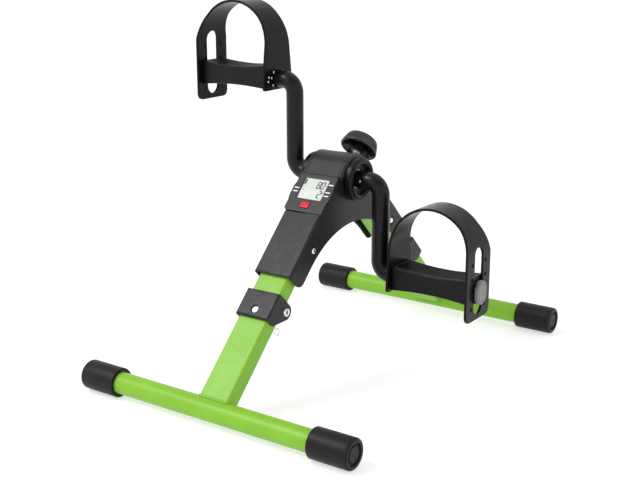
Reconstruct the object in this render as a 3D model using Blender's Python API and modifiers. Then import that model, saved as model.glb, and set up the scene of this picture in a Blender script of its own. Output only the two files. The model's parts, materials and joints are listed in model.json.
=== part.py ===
"""A folding pedal exerciser: two T-shaped legs under an arched saddle that carries a crank, two strapped
pedals, a tension knob and a small meter.

Metres, +Z up. X runs across the object, along the foot tubes and the crank axle. -Y is the user's side, with
the meter. The front and the rear leg slope at 45 degrees and mirror each other about Y = 0. Most pieces are
placed by two slope distances: `along`, down the slope, and `out`, square to it and away from the inside.
"""

import math

import bmesh
import bpy
from mathutils import Matrix, Vector

# ---- driving dimensions ----
GAP = 0.0003
SLOPE = math.radians(45)

HUB_HEIGHT = 0.234
CRANK_RADIUS = 0.110
COVER_RADIUS = 0.0295
ARCH_CENTRE_HEIGHT = 0.053

SADDLE_WIDTH = 0.051
SADDLE_WALL = 0.002
SADDLE_DEPTH = 0.029
SADDLE_END = -0.009
SADDLE_EDGE_ROUND = 0.003
SADDLE_SEAT = 0.0025
SADDLE_CORNER = 0.010
COVER_WIDTH = 0.0556
COVER_LIP_RADIUS = 0.0225
FRAME_RIVET_ALONG = -0.0563
FRAME_RIVET_INSET = 0.0188

METER_TOP = -0.146
METER_BOTTOM = -0.093
METER_WIDTH = 0.052
METER_BULGE = 0.0014
METER_PROUD = 0.0006
METER_TUB = (0.044, 0.048)
METER_TUB_DEPTH = 0.0148
METER_WALL = 0.0018
WINDOW_SIZE = (0.0333, 0.0285)
WINDOW_RAISE = 0.006
WINDOW_DEPTH = 0.0005
WINDOW_THICKNESS = 0.0015
LCD_SIZE = (0.036, 0.002, 0.0316)
BOARD_DEPTH = 0.004
BOARD_THICKNESS = 0.0016
BATTERY = (0.0058, 0.0052)
BATTERY_DEPTH = 0.0077
BACK_DEPTH = 0.0127
BACK_THICKNESS = 0.002
BUTTON_SIZE = (0.0123, 0.0085)
BUTTON_DROP = 0.0168
BUTTON_PROUD = 0.0014
BUTTON_EDGE_ROUND = 0.0006
BUTTON_FLANGE = (0.0146, 0.001, 0.0104)

LEG_WIDTH = 0.040
LEG_DEPTH = 0.020
LEG_WALL = 0.0015
LEG_CORNER = 0.003
LEG_INSET = 0.005
STUB_TOP = -0.075
STUB_BOTTOM = 0.024
LEG_TOP = 0.026

PIVOT_ALONG = 0.0215
PIVOT_INSET = 0.0265
PIVOT_RADIUS = 0.003
KNUCKLE_RADIUS = 0.006
KNUCKLE_WIDTH = 0.039
KNUCKLE_LUG = 0.0075
LEG_END_GAP = 0.0025
BRACKET_WIDTH = 0.0452
BRACKET_SIDE = 0.0024
BRACKET_FACE = 0.003
BRACKET_LOBE = 0.0095
BRACKET_BOTTOM = 0.046
BRACKET_CORNER = 0.004
BRACKET_CORNER_INSET = 0.01375
BRACKET_EDGE_ROUND = 0.002

LOCK_ALONG = 0.036
LOCK_NOSE_RADIUS = 0.0042
LOCK_HOLE_RADIUS = 0.0057
LOCK_STEM_RADIUS = 0.0025
LOCK_NOSE_DOME = 0.0024
LOCK_TIP_INSET = 0.0006
LOCK_SHOULDER_INSET = 0.0130
LOCK_STEM_LENGTH = 0.041
LOCK_BOSS = (0.006, 0.007)
PULL_RING_RADIUS = 0.0042
PULL_RING_WIRE = 0.0010

FOOT_SPREAD = 0.240
FOOT_WIDTH = 0.370
FOOT_TUBE_RADIUS = 0.0127
FOOT_TUBE_WALL = 0.0015
FOOT_CAP_RADIUS = 0.0172
FOOT_CAP_LENGTH = 0.0495
FOOT_CAP_END = 0.005
FOOT_CAP_DISC_RADIUS = 0.0092
FOOT_CAP_RIM_RADIUS = 0.0128
FOOT_CAP_EDGE_ROUND = 0.0025

AXLE_RADIUS = 0.008
AXLE_LENGTH = 0.088
BUSH_RADIUS = 0.011
BUSH_FLANGE_RADIUS = 0.014
BUSH_FLANGE = 0.002
HUB_CAP_RADIUS = 0.026
HUB_CAP_RIM = 0.008
HUB_CAP_DEPTH = 0.009
HUB_CAP_FLOOR = 0.0025

CRANK_BAR_RADIUS = 0.0105
CRANK_OFFSET = 0.062
CRANK_BEND = 0.016
CRANK_SOCKET = 0.018
CRANK_PIN_OFFSET = 0.0385
CRANK_PIN_RADIUS = 0.0025

PEDAL_CENTRE = 0.140
PEDAL_LENGTH = 0.0994
PEDAL_DEPTH = 0.038
PEDAL_TOP = 0.0175
PEDAL_BOTTOM = -0.0125
PEDAL_DISH = 0.004
PEDAL_UNDERCUT = 0.003
PEDAL_EDGE_ROUND = 0.0016
SPINDLE_RADIUS = 0.006
SPINDLE_END_INSET = 0.0035
CLIP_RADIUS = 0.008
CLIP_THICKNESS = 0.0014
CLIP_INSET = 0.0092
CLIP_ROOM_DEPTH = 0.0117
PEDAL_BUSH_RADIUS = 0.009
PEDAL_BUSH_LENGTH = 0.014
STRAP_THICKNESS = 0.003
STRAP_WIDTH = 0.056
STRAP_TOP_WIDTH = 0.039
STRAP_ARCH_HEIGHT = 0.040
STRAP_TAPER_START = 0.044
STRAP_TAPER_TOP = 0.074
STRAP_FOOT_CORNER = 0.008
STRAP_INNER_FOOT = -0.013
STRAP_OUTER_FOOT = -0.032
SLOT_WIDTH = 0.020
SLOT_TOP = 0.052
SLOT_BOTTOM = -0.026
PEG_SPACING = 0.0155
PEG_PITCH = 0.0173
PEG_RADIUS = 0.0014
PEG_PLAY = 0.0005
SPINDLE_PLAY = 0.001
END_BOSS = (0.0190, 0.0240)
END_CAP = (0.023, 0.028)
END_CAP_THICKNESS = 0.0045
END_CAP_CORNER = 0.0095
END_CAP_EDGE_ROUND = 0.0012

DRUM_RADIUS = 0.018
DRUM_WIDTH = 0.024
SHOE_GAP = 0.00155
SHOE_WIDTH = 0.022
SHOE_BACK = 0.0075
SHOE_DEPTH = 0.0125
SHOE_HEIGHT = 0.031
SHOE_RAISE = 0.0065
SHOE_PLAY = 0.0004
GUIDE_REACH = 0.003
GUIDE_HEIGHT = 0.021
GUIDE_RAISE = 0.0015
GUIDE_WALL = 0.002
SCREW_ALONG = -0.151
SCREW_RADIUS = 0.004
NUT_RADIUS = 0.0085
NUT_HEIGHT = 0.0047
NUT_NECK_RADIUS = 0.006
ROD_SOCKET = 0.004
KNOB_RIM_RADIUS = 0.0235
KNOB_TOP_RADIUS = 0.020
KNOB_STANDOFF = 0.020
KNOB_HEIGHT = 0.016
KNOB_WALL = 0.0025
KNOB_BOSS_RADIUS = 0.007
KNOB_BOSS_PROUD = 0.0035
KNOB_EDGE_ROUND = 0.003
KNOB_ROD_COVER = 0.004

# ---- sizes that follow from them ----
HUB_OUT = HUB_HEIGHT * math.cos(SLOPE)
FACE_OUT = HUB_OUT + COVER_RADIUS
SEAT_OUT = FACE_OUT - SADDLE_SEAT
SADDLE_INNER_OUT = FACE_OUT - SADDLE_DEPTH
SADDLE_SIDE = SADDLE_WIDTH / 2
SADDLE_INSIDE = SADDLE_SIDE - SADDLE_WALL
LEG_FACE_OUT = FACE_OUT - LEG_INSET
LEG_OUT = LEG_FACE_OUT - LEG_DEPTH / 2
LEG_INNER_OUT = LEG_FACE_OUT - LEG_DEPTH
PIVOT_OUT = FACE_OUT - PIVOT_INSET
METER_ALONG = (METER_TOP + METER_BOTTOM) / 2
METER_HEIGHT = METER_BOTTOM - METER_TOP - 2 * GAP
METER_TOP_OUT = FACE_OUT + METER_PROUD
METER_PLATE = METER_TOP_OUT - SEAT_OUT - GAP
FOOT_ALONG = (FOOT_SPREAD - FOOT_CAP_RADIUS) * math.cos(SLOPE)
FOOT_OUT = (FOOT_SPREAD + FOOT_CAP_RADIUS) * math.cos(SLOPE)
BUSH_END = SADDLE_SIDE + GAP + BUSH_FLANGE
PEDAL_END = PEDAL_LENGTH / 2
STRAP_RADIUS = PEDAL_END + GAP + STRAP_THICKNESS
THROUGH_STRAP = 6 * STRAP_THICKNESS
CRANK_ROOT = BUSH_END + GAP
CRANK_TIP = PEDAL_CENTRE - STRAP_RADIUS - GAP
TOP_COVER_REAR = 0.002 - HUB_OUT

PARTS = bpy.data.collections.new("pedal_exerciser")
CUTTERS = bpy.data.collections.new("cutters")


# ---- scene, materials and placing ----
def clear_scene():
    for old in list(bpy.data.objects):
        bpy.data.objects.remove(old, do_unlink=True)
    bpy.context.scene.collection.children.link(PARTS)
    bpy.context.scene.collection.children.link(CUTTERS)
    CUTTERS.hide_render = True


def material(name, colour, roughness, metallic=0.0):
    made = bpy.data.materials.new(name)
    made.use_nodes = True
    shader = made.node_tree.nodes["Principled BSDF"]
    shader.inputs["Base Color"].default_value = (*colour, 1.0)
    shader.inputs["Roughness"].default_value = roughness
    shader.inputs["Metallic"].default_value = metallic
    return made


def slope(side, along, out):
    """A frame on a slope, side -1 at the front and +1 at the rear: y points inward and z up the slope."""
    turn = Matrix.Rotation(0.0 if side < 0 else math.pi, 4, "Z") @ Matrix.Rotation(-SLOPE, 4, "X")
    return turn @ Matrix.Translation((0.0, -out, -along))


def slope_point(side, along, out):
    """The (Y, Z) of a place on a slope."""
    place = slope(side, along, out).translation
    return (place.y, place.z)


def at(x=0.0, y=0.0, z=0.0):
    return Matrix.Translation((x, y, z))


def facing(side):
    """Turns a piece made for the +X side so that it serves the side given."""
    return Matrix.Rotation(0.0 if side > 0 else math.pi, 4, "Z")


def pivot_empty(name, place):
    empty = bpy.data.objects.new(name, None)
    empty.empty_display_size = 0.02
    PARTS.objects.link(empty)
    empty.matrix_world = place
    return empty


def piece(name, source, look, place=None, pivot=None):
    """Names a finished solid and puts it in place, under its joint's empty if it has one."""
    source.name = name
    source.data.name = name
    source.display_type = "TEXTURED"
    source.hide_render = False
    source.data.shade_smooth()
    source.data.set_sharp_from_angle(angle=math.radians(35))
    source.data.materials.clear()
    source.data.materials.append(look)
    source.matrix_world = place or Matrix()
    if pivot:
        source.parent = pivot
        source.matrix_parent_inverse = pivot.matrix_basis.inverted()
    CUTTERS.objects.unlink(source)
    PARTS.objects.link(source)
    return source


# ---- shapes, all made as helpers and promoted by piece() ----
def helper(name, mesh):
    made = bpy.data.objects.new(name, mesh)
    made.display_type = "WIRE"
    made.hide_render = True
    CUTTERS.objects.link(made)
    return made


def from_bmesh(name, shape):
    mesh = bpy.data.meshes.new(name)
    shape.to_mesh(mesh)
    shape.free()
    return helper(name, mesh)


def box(size, centre=(0.0, 0.0, 0.0)):
    shape = bmesh.new()
    bmesh.ops.create_cube(shape, size=1.0)
    bmesh.ops.scale(shape, vec=size, verts=shape.verts)
    bmesh.ops.translate(shape, vec=centre, verts=shape.verts)
    return from_bmesh("box", shape)


def cylinder(radius, length, centre=(0.0, 0.0, 0.0), axis="X", sides=24):
    shape = bmesh.new()
    bmesh.ops.create_cone(shape, cap_ends=True, segments=sides, radius1=radius, radius2=radius, depth=length)
    if axis != "Z":
        turn = Matrix.Rotation(math.pi / 2, 3, "Y" if axis == "X" else "X")
        bmesh.ops.rotate(shape, matrix=turn, verts=shape.verts)
    bmesh.ops.translate(shape, vec=centre, verts=shape.verts)
    return from_bmesh("cylinder", shape)


def turned(profile, axis="X", closed=False, sides=24):
    """A solid turned from (radius, height) points, which run down its outer side."""
    shape = bmesh.new()
    points = [shape.verts.new((radius, 0.0, height)) for radius, height in profile]
    for first, second in zip(points, points[1:]):
        shape.edges.new((first, second))
    if closed:
        shape.edges.new((points[-1], points[0]))
    profile_object = from_bmesh("profile", shape)
    screw = profile_object.modifiers.new("Screw", "SCREW")
    screw.steps = sides
    screw.render_steps = sides
    screw.use_merge_vertices = True
    screw.merge_threshold = 0.00001
    mesh = evaluated_mesh(profile_object)
    turns = {"X": Matrix.Rotation(math.pi / 2, 4, "Y"), "Y": Matrix.Rotation(-math.pi / 2, 4, "X")}
    mesh.transform(turns[axis])
    return helper("turned", mesh)


def evaluated_mesh(source):
    """The mesh that a curve or a modified object gives, welded and facing out; the source is removed."""
    graph = bpy.context.evaluated_depsgraph_get()
    mesh = bpy.data.meshes.new_from_object(source.evaluated_get(graph))
    bpy.data.objects.remove(source)
    shape = bmesh.new()
    shape.from_mesh(mesh)
    bmesh.ops.remove_doubles(shape, verts=shape.verts, dist=0.00001)
    bmesh.ops.recalc_face_normals(shape, faces=shape.faces)
    shape.to_mesh(mesh)
    shape.free()
    return mesh


def mesh_of_curve(curve):
    drawn = bpy.data.objects.new("drawn", curve)
    CUTTERS.objects.link(drawn)
    return evaluated_mesh(drawn)


def extruded(outlines, thickness, plane="YZ"):
    """Closed outlines, given as points in a plane, extruded by half the thickness to each side."""
    curve = bpy.data.curves.new("outline", "CURVE")
    curve.dimensions = "2D"
    curve.fill_mode = "BOTH"
    curve.extrude = thickness / 2
    for outline in outlines:
        spline = curve.splines.new("POLY")
        spline.points.add(len(outline) - 1)
        for point, (a, b) in zip(spline.points, outline):
            point.co = (a, b, 0.0, 1.0)
        spline.use_cyclic_u = True
    mesh = mesh_of_curve(curve)
    turns = {
        "XY": Matrix(),
        "XZ": Matrix.Rotation(math.pi / 2, 4, "X"),
        "YZ": Matrix.Rotation(math.pi / 2, 4, "Z") @ Matrix.Rotation(math.pi / 2, 4, "X"),
    }
    mesh.transform(turns[plane])
    return helper("extruded", mesh)


def rod(points, radius, ring=5):
    """A round bar along a list of points, with flat ends."""
    curve = bpy.data.curves.new("rod", "CURVE")
    curve.dimensions = "3D"
    curve.bevel_depth = radius
    curve.bevel_resolution = ring
    curve.use_fill_caps = True
    spline = curve.splines.new("POLY")
    spline.points.add(len(points) - 1)
    for point, place in zip(spline.points, points):
        point.co = (*place, 1.0)
    return helper("rod", mesh_of_curve(curve))


def boolean(target, other, operation):
    other.parent = target
    step = target.modifiers.new(operation.title(), "BOOLEAN")
    step.operation = operation
    step.object = other


def cut(target, *cutters):
    for cutter in cutters:
        boolean(target, cutter, "DIFFERENCE")


def join(target, *others):
    for other in others:
        boolean(target, other, "UNION")


def round_edges(target, width, segments=2):
    bevel = target.modifiers.new("Bevel", "BEVEL")
    bevel.width = width
    bevel.segments = segments
    bevel.limit_method = "ANGLE"
    bevel.angle_limit = math.radians(50)


def bevel_where(target, width, segments, chosen):
    """Rounds only the edges whose two ends pass the test."""
    shape = bmesh.new()
    shape.from_mesh(target.data)
    edges = [edge for edge in shape.edges if all(chosen(end.co) for end in edge.verts)]
    edges = [edge for edge in edges if edge.calc_face_angle(0.0) > math.radians(50)]
    bmesh.ops.bevel(shape, geom=edges, offset=width, segments=segments, profile=0.5, affect="EDGES")
    shape.to_mesh(target.data)
    shape.free()


# ---- outlines ----
def arc(centre, radius, start, end, steps):
    """Points on a circle from one angle to another, in degrees."""
    angles = [math.radians(start + (end - start) * step / steps) for step in range(steps + 1)]
    return [(centre[0] + radius * math.cos(a), centre[1] + radius * math.sin(a)) for a in angles]


def rounded_rectangle(width, height, radius, steps=3):
    x = width / 2 - radius
    y = height / 2 - radius
    corners = (((x, y), 0), ((-x, y), 90), ((-x, -y), 180), ((x, -y), 270))
    return [point for centre, start in corners for point in arc(centre, radius, start, start + 90, steps)]


def mirrored(points):
    return [(-a, b) for a, b in reversed(points)]


def saddle_path(offset, front_end, rear_end=None, steps=14):
    """The (Y, Z) run at one distance from the hub: up the front slope, over the hub, down the rear slope."""
    run = [slope_point(-1, front_end, HUB_OUT + offset)]
    run += arc((0.0, HUB_HEIGHT), offset, 135, 45, steps)
    if rear_end is not None:
        run.append(slope_point(1, rear_end, HUB_OUT + offset))
    return run


def saddle_band(inner, outer, front_end, rear_end=None):
    return saddle_path(outer, front_end, rear_end) + saddle_path(inner, front_end, rear_end)[::-1]


def tangent_angle(first, second):
    """The direction, in degrees, square to the outer tangent of two circles, each (centre, radius)."""
    (x1, y1), r1 = first
    (x2, y2), r2 = second
    apart = math.hypot(x2 - x1, y2 - y1)
    return math.degrees(math.atan2(y2 - y1, x2 - x1) + math.acos((r1 - r2) / apart))


# ---- saddle and covers ----
def saddle_outline():
    """The saddle's side view: two sloped limbs with round lower corners, over the hub and the arch."""
    arch_radius = SADDLE_INNER_OUT - ARCH_CENTRE_HEIGHT * math.cos(SLOPE)
    corner_centre = slope_point(-1, SADDLE_END - SADDLE_CORNER, SADDLE_INNER_OUT + SADDLE_CORNER)
    front_corner = arc(corner_centre, SADDLE_CORNER, -45, -135, 6)
    arch = arc((0.0, ARCH_CENTRE_HEIGHT), arch_radius, 45, 135, 20)
    return saddle_path(COVER_RADIUS, SADDLE_END, SADDLE_END) + mirrored(front_corner) + arch + front_corner


def on_cover_surface(point):
    """Whether a point of the saddle lies on its outer face or over its hub."""
    front = (point.z - point.y) * math.cos(SLOPE)
    rear = (point.z + point.y) * math.cos(SLOPE)
    hub = math.hypot(point.y, point.z - HUB_HEIGHT)
    return max(front, rear) > FACE_OUT - GAP or (abs(hub - COVER_RADIUS) < GAP and point.z > HUB_HEIGHT)


def saddle(look):
    body = extruded([saddle_outline()], SADDLE_WIDTH)
    bevel_where(body, SADDLE_EDGE_ROUND, 3, on_cover_surface)
    cut(body, cylinder(BUSH_RADIUS + GAP, SADDLE_WIDTH + SADDLE_WALL, (0.0, 0.0, HUB_HEIGHT)))
    for side in (-1, 1):
        place = slope_point(side, FRAME_RIVET_ALONG, FACE_OUT - FRAME_RIVET_INSET)
        cut(body, cylinder(PIVOT_RADIUS + GAP, SADDLE_WIDTH + SADDLE_WALL, (0.0, *place), sides=16))
    nut_hole = cylinder(NUT_NECK_RADIUS + GAP, 4 * SADDLE_WALL, axis="Y", sides=24)
    nut_hole.data.transform(slope(1, SCREW_ALONG, FACE_OUT))
    hollow = saddle_path(COVER_RADIUS - SADDLE_WALL, -SADDLE_END, -SADDLE_END) + [(0.0, 0.0)]
    lowered = saddle_band(SEAT_OUT - HUB_OUT, COVER_RADIUS + SADDLE_WALL, METER_BOTTOM, TOP_COVER_REAR)
    cut(body, nut_hole, extruded([hollow], 2 * SADDLE_INSIDE))
    cut(body, extruded([lowered], SADDLE_WIDTH + SADDLE_WALL))
    return piece("saddle_frame", body, look)


def top_cover(look):
    front = METER_TOP - GAP
    rear = TOP_COVER_REAR - 2 * GAP
    body = extruded([saddle_band(COVER_LIP_RADIUS, COVER_RADIUS, front, rear)], COVER_WIDTH)
    round_edges(body, 0.001)
    under = SEAT_OUT + GAP - HUB_OUT
    inside = saddle_band(COVER_LIP_RADIUS / 2, under, front + SADDLE_WALL, rear + SADDLE_WALL)
    cut(body, extruded([inside], SADDLE_WIDTH + 2 * GAP))
    return piece("top_cover", body, look)


def frame_rivet(side, look):
    """A shouldered rivet: its shoulders hold the leg stub midway between the saddle's two sides."""
    shoulder = SADDLE_INSIDE - GAP
    head = SADDLE_SIDE + GAP
    half = [
        (0.0, head + 0.0020),
        (0.0030, head + 0.0018),
        (0.0044, head + 0.0009),
        (0.0046, head),
        (PIVOT_RADIUS, head),
        (PIVOT_RADIUS, shoulder),
        (2 * PIVOT_RADIUS, shoulder),
        (2 * PIVOT_RADIUS, LEG_WIDTH / 2 + GAP),
        (PIVOT_RADIUS, LEG_WIDTH / 2 + GAP),
    ]
    body = turned(half + [(radius, -height) for radius, height in reversed(half)], sides=16)
    name = "front_frame_rivet" if side < 0 else "rear_frame_rivet"
    return piece(name, body, look, slope(side, FRAME_RIVET_ALONG, FACE_OUT - FRAME_RIVET_INSET))


# ---- legs ----
def leg_section(middle, length):
    """A stretch of the legs' rectangular tube, with its middle at the (y, z) given."""
    inner = (LEG_WIDTH - 2 * LEG_WALL, LEG_DEPTH - 2 * LEG_WALL, LEG_CORNER - LEG_WALL)
    body = extruded([rounded_rectangle(LEG_WIDTH, LEG_DEPTH, LEG_CORNER)], length, "XY")
    hollow = extruded([rounded_rectangle(*inner)], length + LEG_WIDTH, "XY")
    for shape in (body, hollow):
        shape.data.transform(at(0.0, *middle))
    cut(body, hollow)
    return body


def leg_stub(side, look):
    middle = (STUB_TOP + STUB_BOTTOM) / 2
    body = leg_section((0.0, 0.0), STUB_BOTTOM - STUB_TOP)
    rivet = (0.0, LEG_OUT - FACE_OUT + FRAME_RIVET_INSET, middle - FRAME_RIVET_ALONG)
    knuckle = (0.0, LEG_OUT - PIVOT_OUT, middle - PIVOT_ALONG)
    cut(body, cylinder(PIVOT_RADIUS + GAP, LEG_WIDTH + GAP, rivet, sides=16))
    cut(body, cylinder(KNUCKLE_RADIUS + 2 * GAP, LEG_WIDTH + GAP, knuckle))
    return piece("front_stub" if side < 0 else "rear_stub", body, look, slope(side, middle, LEG_OUT))


def bracket_outline():
    """The side view of a fold bracket: a square outer edge, and a round lobe about the pivot."""
    top = BRACKET_LOBE
    face = PIVOT_OUT - FACE_OUT
    bottom = PIVOT_ALONG - BRACKET_BOTTOM
    corner_centre = (BRACKET_CORNER_INSET - PIVOT_INSET, bottom + BRACKET_CORNER)
    angle = tangent_angle(((0.0, 0.0), BRACKET_LOBE), (corner_centre, BRACKET_CORNER))
    lobe = arc((0.0, 0.0), BRACKET_LOBE, 90, angle, 12)
    lower = arc(corner_centre, BRACKET_CORNER, angle, -90, 4)
    return [(face, top)] + lobe + lower + [(face, bottom)]


def bracket(side, look):
    """A U-shaped bracket welded to the stub; the leg turns between its lobes."""
    body = extruded([bracket_outline()], BRACKET_WIDTH)
    face = PIVOT_OUT - FACE_OUT
    bevel_where(body, BRACKET_EDGE_ROUND, 2, lambda point: point.y < face + GAP)
    inner_width = BRACKET_WIDTH - 2 * BRACKET_SIDE
    tall = 4 * BRACKET_LOBE
    below = PIVOT_ALONG - STUB_BOTTOM - GAP
    stub_face = PIVOT_OUT - LEG_FACE_OUT - GAP
    room = (inner_width, tall, tall)
    stub_room = box(room, (0.0, stub_face + tall / 2, below + tall / 2))
    leg_room = box(room, (0.0, face + BRACKET_FACE + tall / 2, below + GAP - tall / 2))
    lock_hole = cylinder(LOCK_HOLE_RADIUS, 0.02, (0.0, face, PIVOT_ALONG - LOCK_ALONG), "Y")
    cut(body, stub_room, leg_room, lock_hole)
    cut(body, cylinder(PIVOT_RADIUS + GAP, BRACKET_WIDTH + GAP, sides=16))
    name = "front_bracket" if side < 0 else "rear_bracket"
    return piece(name, body, look, slope(side, PIVOT_ALONG, PIVOT_OUT))


def pivot_rivet(side, look):
    head = BRACKET_WIDTH / 2 + GAP
    half = [
        (0.0, head + 0.0021),
        (0.0032, head + 0.0019),
        (0.0048, head + 0.0010),
        (0.0050, head),
        (PIVOT_RADIUS, head),
    ]
    body = turned(half + [(radius, -height) for radius, height in reversed(half)], sides=16)
    name = "front_pivot_rivet" if side < 0 else "rear_pivot_rivet"
    return piece(name, body, look, slope(side, PIVOT_ALONG, PIVOT_OUT))


def leg_tube(side, look, pivot):
    """The leg: its knuckle, the boss that guides its lock pin, and its coped end on the foot tube."""
    place = slope(side, PIVOT_ALONG, PIVOT_OUT)
    leg_end = FOOT_ALONG - LEG_END_GAP
    middle = PIVOT_ALONG - (LEG_TOP + leg_end) / 2
    centre = PIVOT_OUT - LEG_OUT
    inner_face = PIVOT_OUT - LEG_INNER_OUT
    lock = PIVOT_ALONG - LOCK_ALONG
    body = leg_section((centre, middle), leg_end - LEG_TOP)
    weld = inner_face - LEG_WALL / 2
    lug = [(weld, -KNUCKLE_LUG), (0.75 * KNUCKLE_RADIUS, -KNUCKLE_LUG), (KNUCKLE_RADIUS, -KNUCKLE_RADIUS)]
    outline = arc((0.0, 0.0), KNUCKLE_RADIUS, 0, 246, 16) + lug
    boss_radius, boss_length = LOCK_BOSS
    boss_centre = (0.0, inner_face + boss_length / 2 - GAP, lock)
    boss = cylinder(boss_radius, boss_length + 2 * GAP, boss_centre, "Y")
    join(body, extruded([outline], KNUCKLE_WIDTH), boss)
    stem_hole = cylinder(LOCK_STEM_RADIUS + GAP, 4 * boss_length, (0.0, inner_face, lock), "Y", 20)
    nose_hole = cylinder(LOCK_NOSE_RADIUS + GAP, LEG_DEPTH, (0.0, PIVOT_OUT - LEG_FACE_OUT, lock), "Y", 24)
    foot = (0.0, PIVOT_OUT - FOOT_OUT, PIVOT_ALONG - FOOT_ALONG)
    cut(body, cylinder(PIVOT_RADIUS + GAP, LEG_WIDTH, sides=16), stem_hole, nose_hole)
    cut(body, cylinder(FOOT_TUBE_RADIUS + GAP, LEG_WIDTH + GAP, foot))
    return piece("front_leg" if side < 0 else "rear_leg", body, look, place, pivot)


def foot_tube(side, look, pivot):
    half = FOOT_WIDTH / 2 - FOOT_CAP_END
    inner = FOOT_TUBE_RADIUS - FOOT_TUBE_WALL
    wall = [(FOOT_TUBE_RADIUS, half), (FOOT_TUBE_RADIUS, -half), (inner, -half), (inner, half)]
    body = turned(wall, closed=True)
    name = "front_foot_tube" if side < 0 else "rear_foot_tube"
    return piece(name, body, look, at(0.0, side * FOOT_SPREAD, FOOT_CAP_RADIUS), pivot)


def foot_cap(side, end, look, pivot):
    """A cup pushed over the end of a foot tube, with a raised rim and a groove on its closed face."""
    tip = FOOT_WIDTH / 2
    mouth = tip - FOOT_CAP_LENGTH
    bore = FOOT_TUBE_RADIUS + GAP
    disc = [(0.0, tip - 0.0010), (FOOT_CAP_DISC_RADIUS, tip - 0.0010)]
    groove_bottom = tip - 0.0024
    groove = [(FOOT_CAP_DISC_RADIUS + 0.0008, groove_bottom), (FOOT_CAP_RIM_RADIUS - 0.0008, groove_bottom)]
    face = disc + groove + [(FOOT_CAP_RIM_RADIUS, tip)]
    round_centre = (FOOT_CAP_RADIUS - FOOT_CAP_EDGE_ROUND, tip - FOOT_CAP_EDGE_ROUND)
    edge = arc(round_centre, FOOT_CAP_EDGE_ROUND, 90, 0, 4)
    mouth_edge = [(FOOT_CAP_RADIUS, mouth + 0.0012), (FOOT_CAP_RADIUS - 0.0010, mouth)]
    inside = [(bore, mouth), (bore, tip - FOOT_CAP_END + GAP), (0.0, tip - FOOT_CAP_END + GAP)]
    body = turned(face + edge + mouth_edge + inside)
    row = "front" if side < 0 else "rear"
    hand = "left" if end < 0 else "right"
    place = at(0.0, side * FOOT_SPREAD, FOOT_CAP_RADIUS) @ facing(end)
    return piece(f"{row}_{hand}_foot_cap", body, look, place, pivot)


def lock_pin(side, look, pivot):
    """The sprung pin that locks a leg open: a domed nose in the bracket's hole, a stem and a pull ring."""
    shoulder = LEG_FACE_OUT - FACE_OUT + LOCK_SHOULDER_INSET
    tip = LEG_FACE_OUT - FACE_OUT + LOCK_TIP_INSET
    stem_end = shoulder + LOCK_STEM_LENGTH
    sphere = (LOCK_NOSE_RADIUS**2 + LOCK_NOSE_DOME**2) / (2 * LOCK_NOSE_DOME)
    half_angle = math.degrees(math.asin(LOCK_NOSE_RADIUS / sphere))
    dome = arc((0.0, -tip - sphere), sphere, 90, 90 - half_angle, 4)
    nose = [(radius, -height) for radius, height in dome]
    nose[0] = (0.0, tip)
    shaft = [
        (LOCK_NOSE_RADIUS, shoulder),
        (LOCK_STEM_RADIUS, shoulder),
        (LOCK_STEM_RADIUS, stem_end),
        (0.0, stem_end),
    ]
    body = turned(nose + shaft, axis="Y", sides=16)
    circle = arc((PULL_RING_RADIUS, 0.0), PULL_RING_WIRE, 0, 315, 7)
    ring = turned(circle, sides=20, closed=True)
    ring.data.transform(at(0.0, stem_end + PULL_RING_RADIUS - PULL_RING_WIRE / 2, 0.0))
    join(body, ring)
    name = "front_lock_pin" if side < 0 else "rear_lock_pin"
    return piece(name, body, look, slope(side, LOCK_ALONG, LEG_FACE_OUT), pivot)


# ---- hub and crank ----
def bush(end, look):
    inner = SADDLE_INSIDE - 0.003
    step = SADDLE_SIDE + GAP
    bore = AXLE_RADIUS + GAP
    profile = [
        (bore, BUSH_END),
        (BUSH_FLANGE_RADIUS, BUSH_END),
        (BUSH_FLANGE_RADIUS, step),
        (BUSH_RADIUS, step),
        (BUSH_RADIUS, inner),
        (bore, inner),
    ]
    name = "left_bush" if end < 0 else "right_bush"
    return piece(name, turned(profile, closed=True), look, at(z=HUB_HEIGHT) @ facing(end))


def hub_cap(end, look):
    """A dished disc round the crank's root, with a thick round rim, fixed against the side of the saddle."""
    back = BUSH_END + GAP
    floor = back + HUB_CAP_FLOOR
    middle = HUB_CAP_RADIUS - HUB_CAP_RIM / 2
    crown = back + HUB_CAP_DEPTH - HUB_CAP_RIM / 2
    hole = CRANK_BAR_RADIUS + 0.0015
    rim = arc((middle, crown), HUB_CAP_RIM / 2, 180, 0, 6)
    seat = SADDLE_SIDE + GAP
    skirt_radius = COVER_LIP_RADIUS - GAP
    skirt = [(skirt_radius, back), (skirt_radius, seat), (BUSH_FLANGE_RADIUS + GAP, seat)]
    profile = [(hole, floor), (middle - HUB_CAP_RIM / 2, floor)] + rim + [(HUB_CAP_RADIUS, back)] + skirt
    profile += [(BUSH_FLANGE_RADIUS + GAP, back), (hole, back)]
    name = "left_hub_cap" if end < 0 else "right_hub_cap"
    return piece(name, turned(profile, closed=True, sides=32), look, at(z=HUB_HEIGHT) @ facing(end))


def axle(look, pivot):
    body = cylinder(AXLE_RADIUS, AXLE_LENGTH)
    for x in (-CRANK_PIN_OFFSET, CRANK_PIN_OFFSET):
        cut(body, cylinder(CRANK_PIN_RADIUS + GAP, 4 * AXLE_RADIUS, (x, 0.0, 0.0), "Y", 16))
    return piece("crank_axle", body, look, at(z=HUB_HEIGHT), pivot)


def brake_drum(look, pivot):
    half = DRUM_WIDTH / 2
    bore = AXLE_RADIUS + GAP
    wall = [(DRUM_RADIUS, half), (DRUM_RADIUS, -half), (bore, -half), (bore, half)]
    body = turned(wall, closed=True, sides=32)
    return piece("brake_drum", body, look, at(z=HUB_HEIGHT), pivot)


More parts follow.
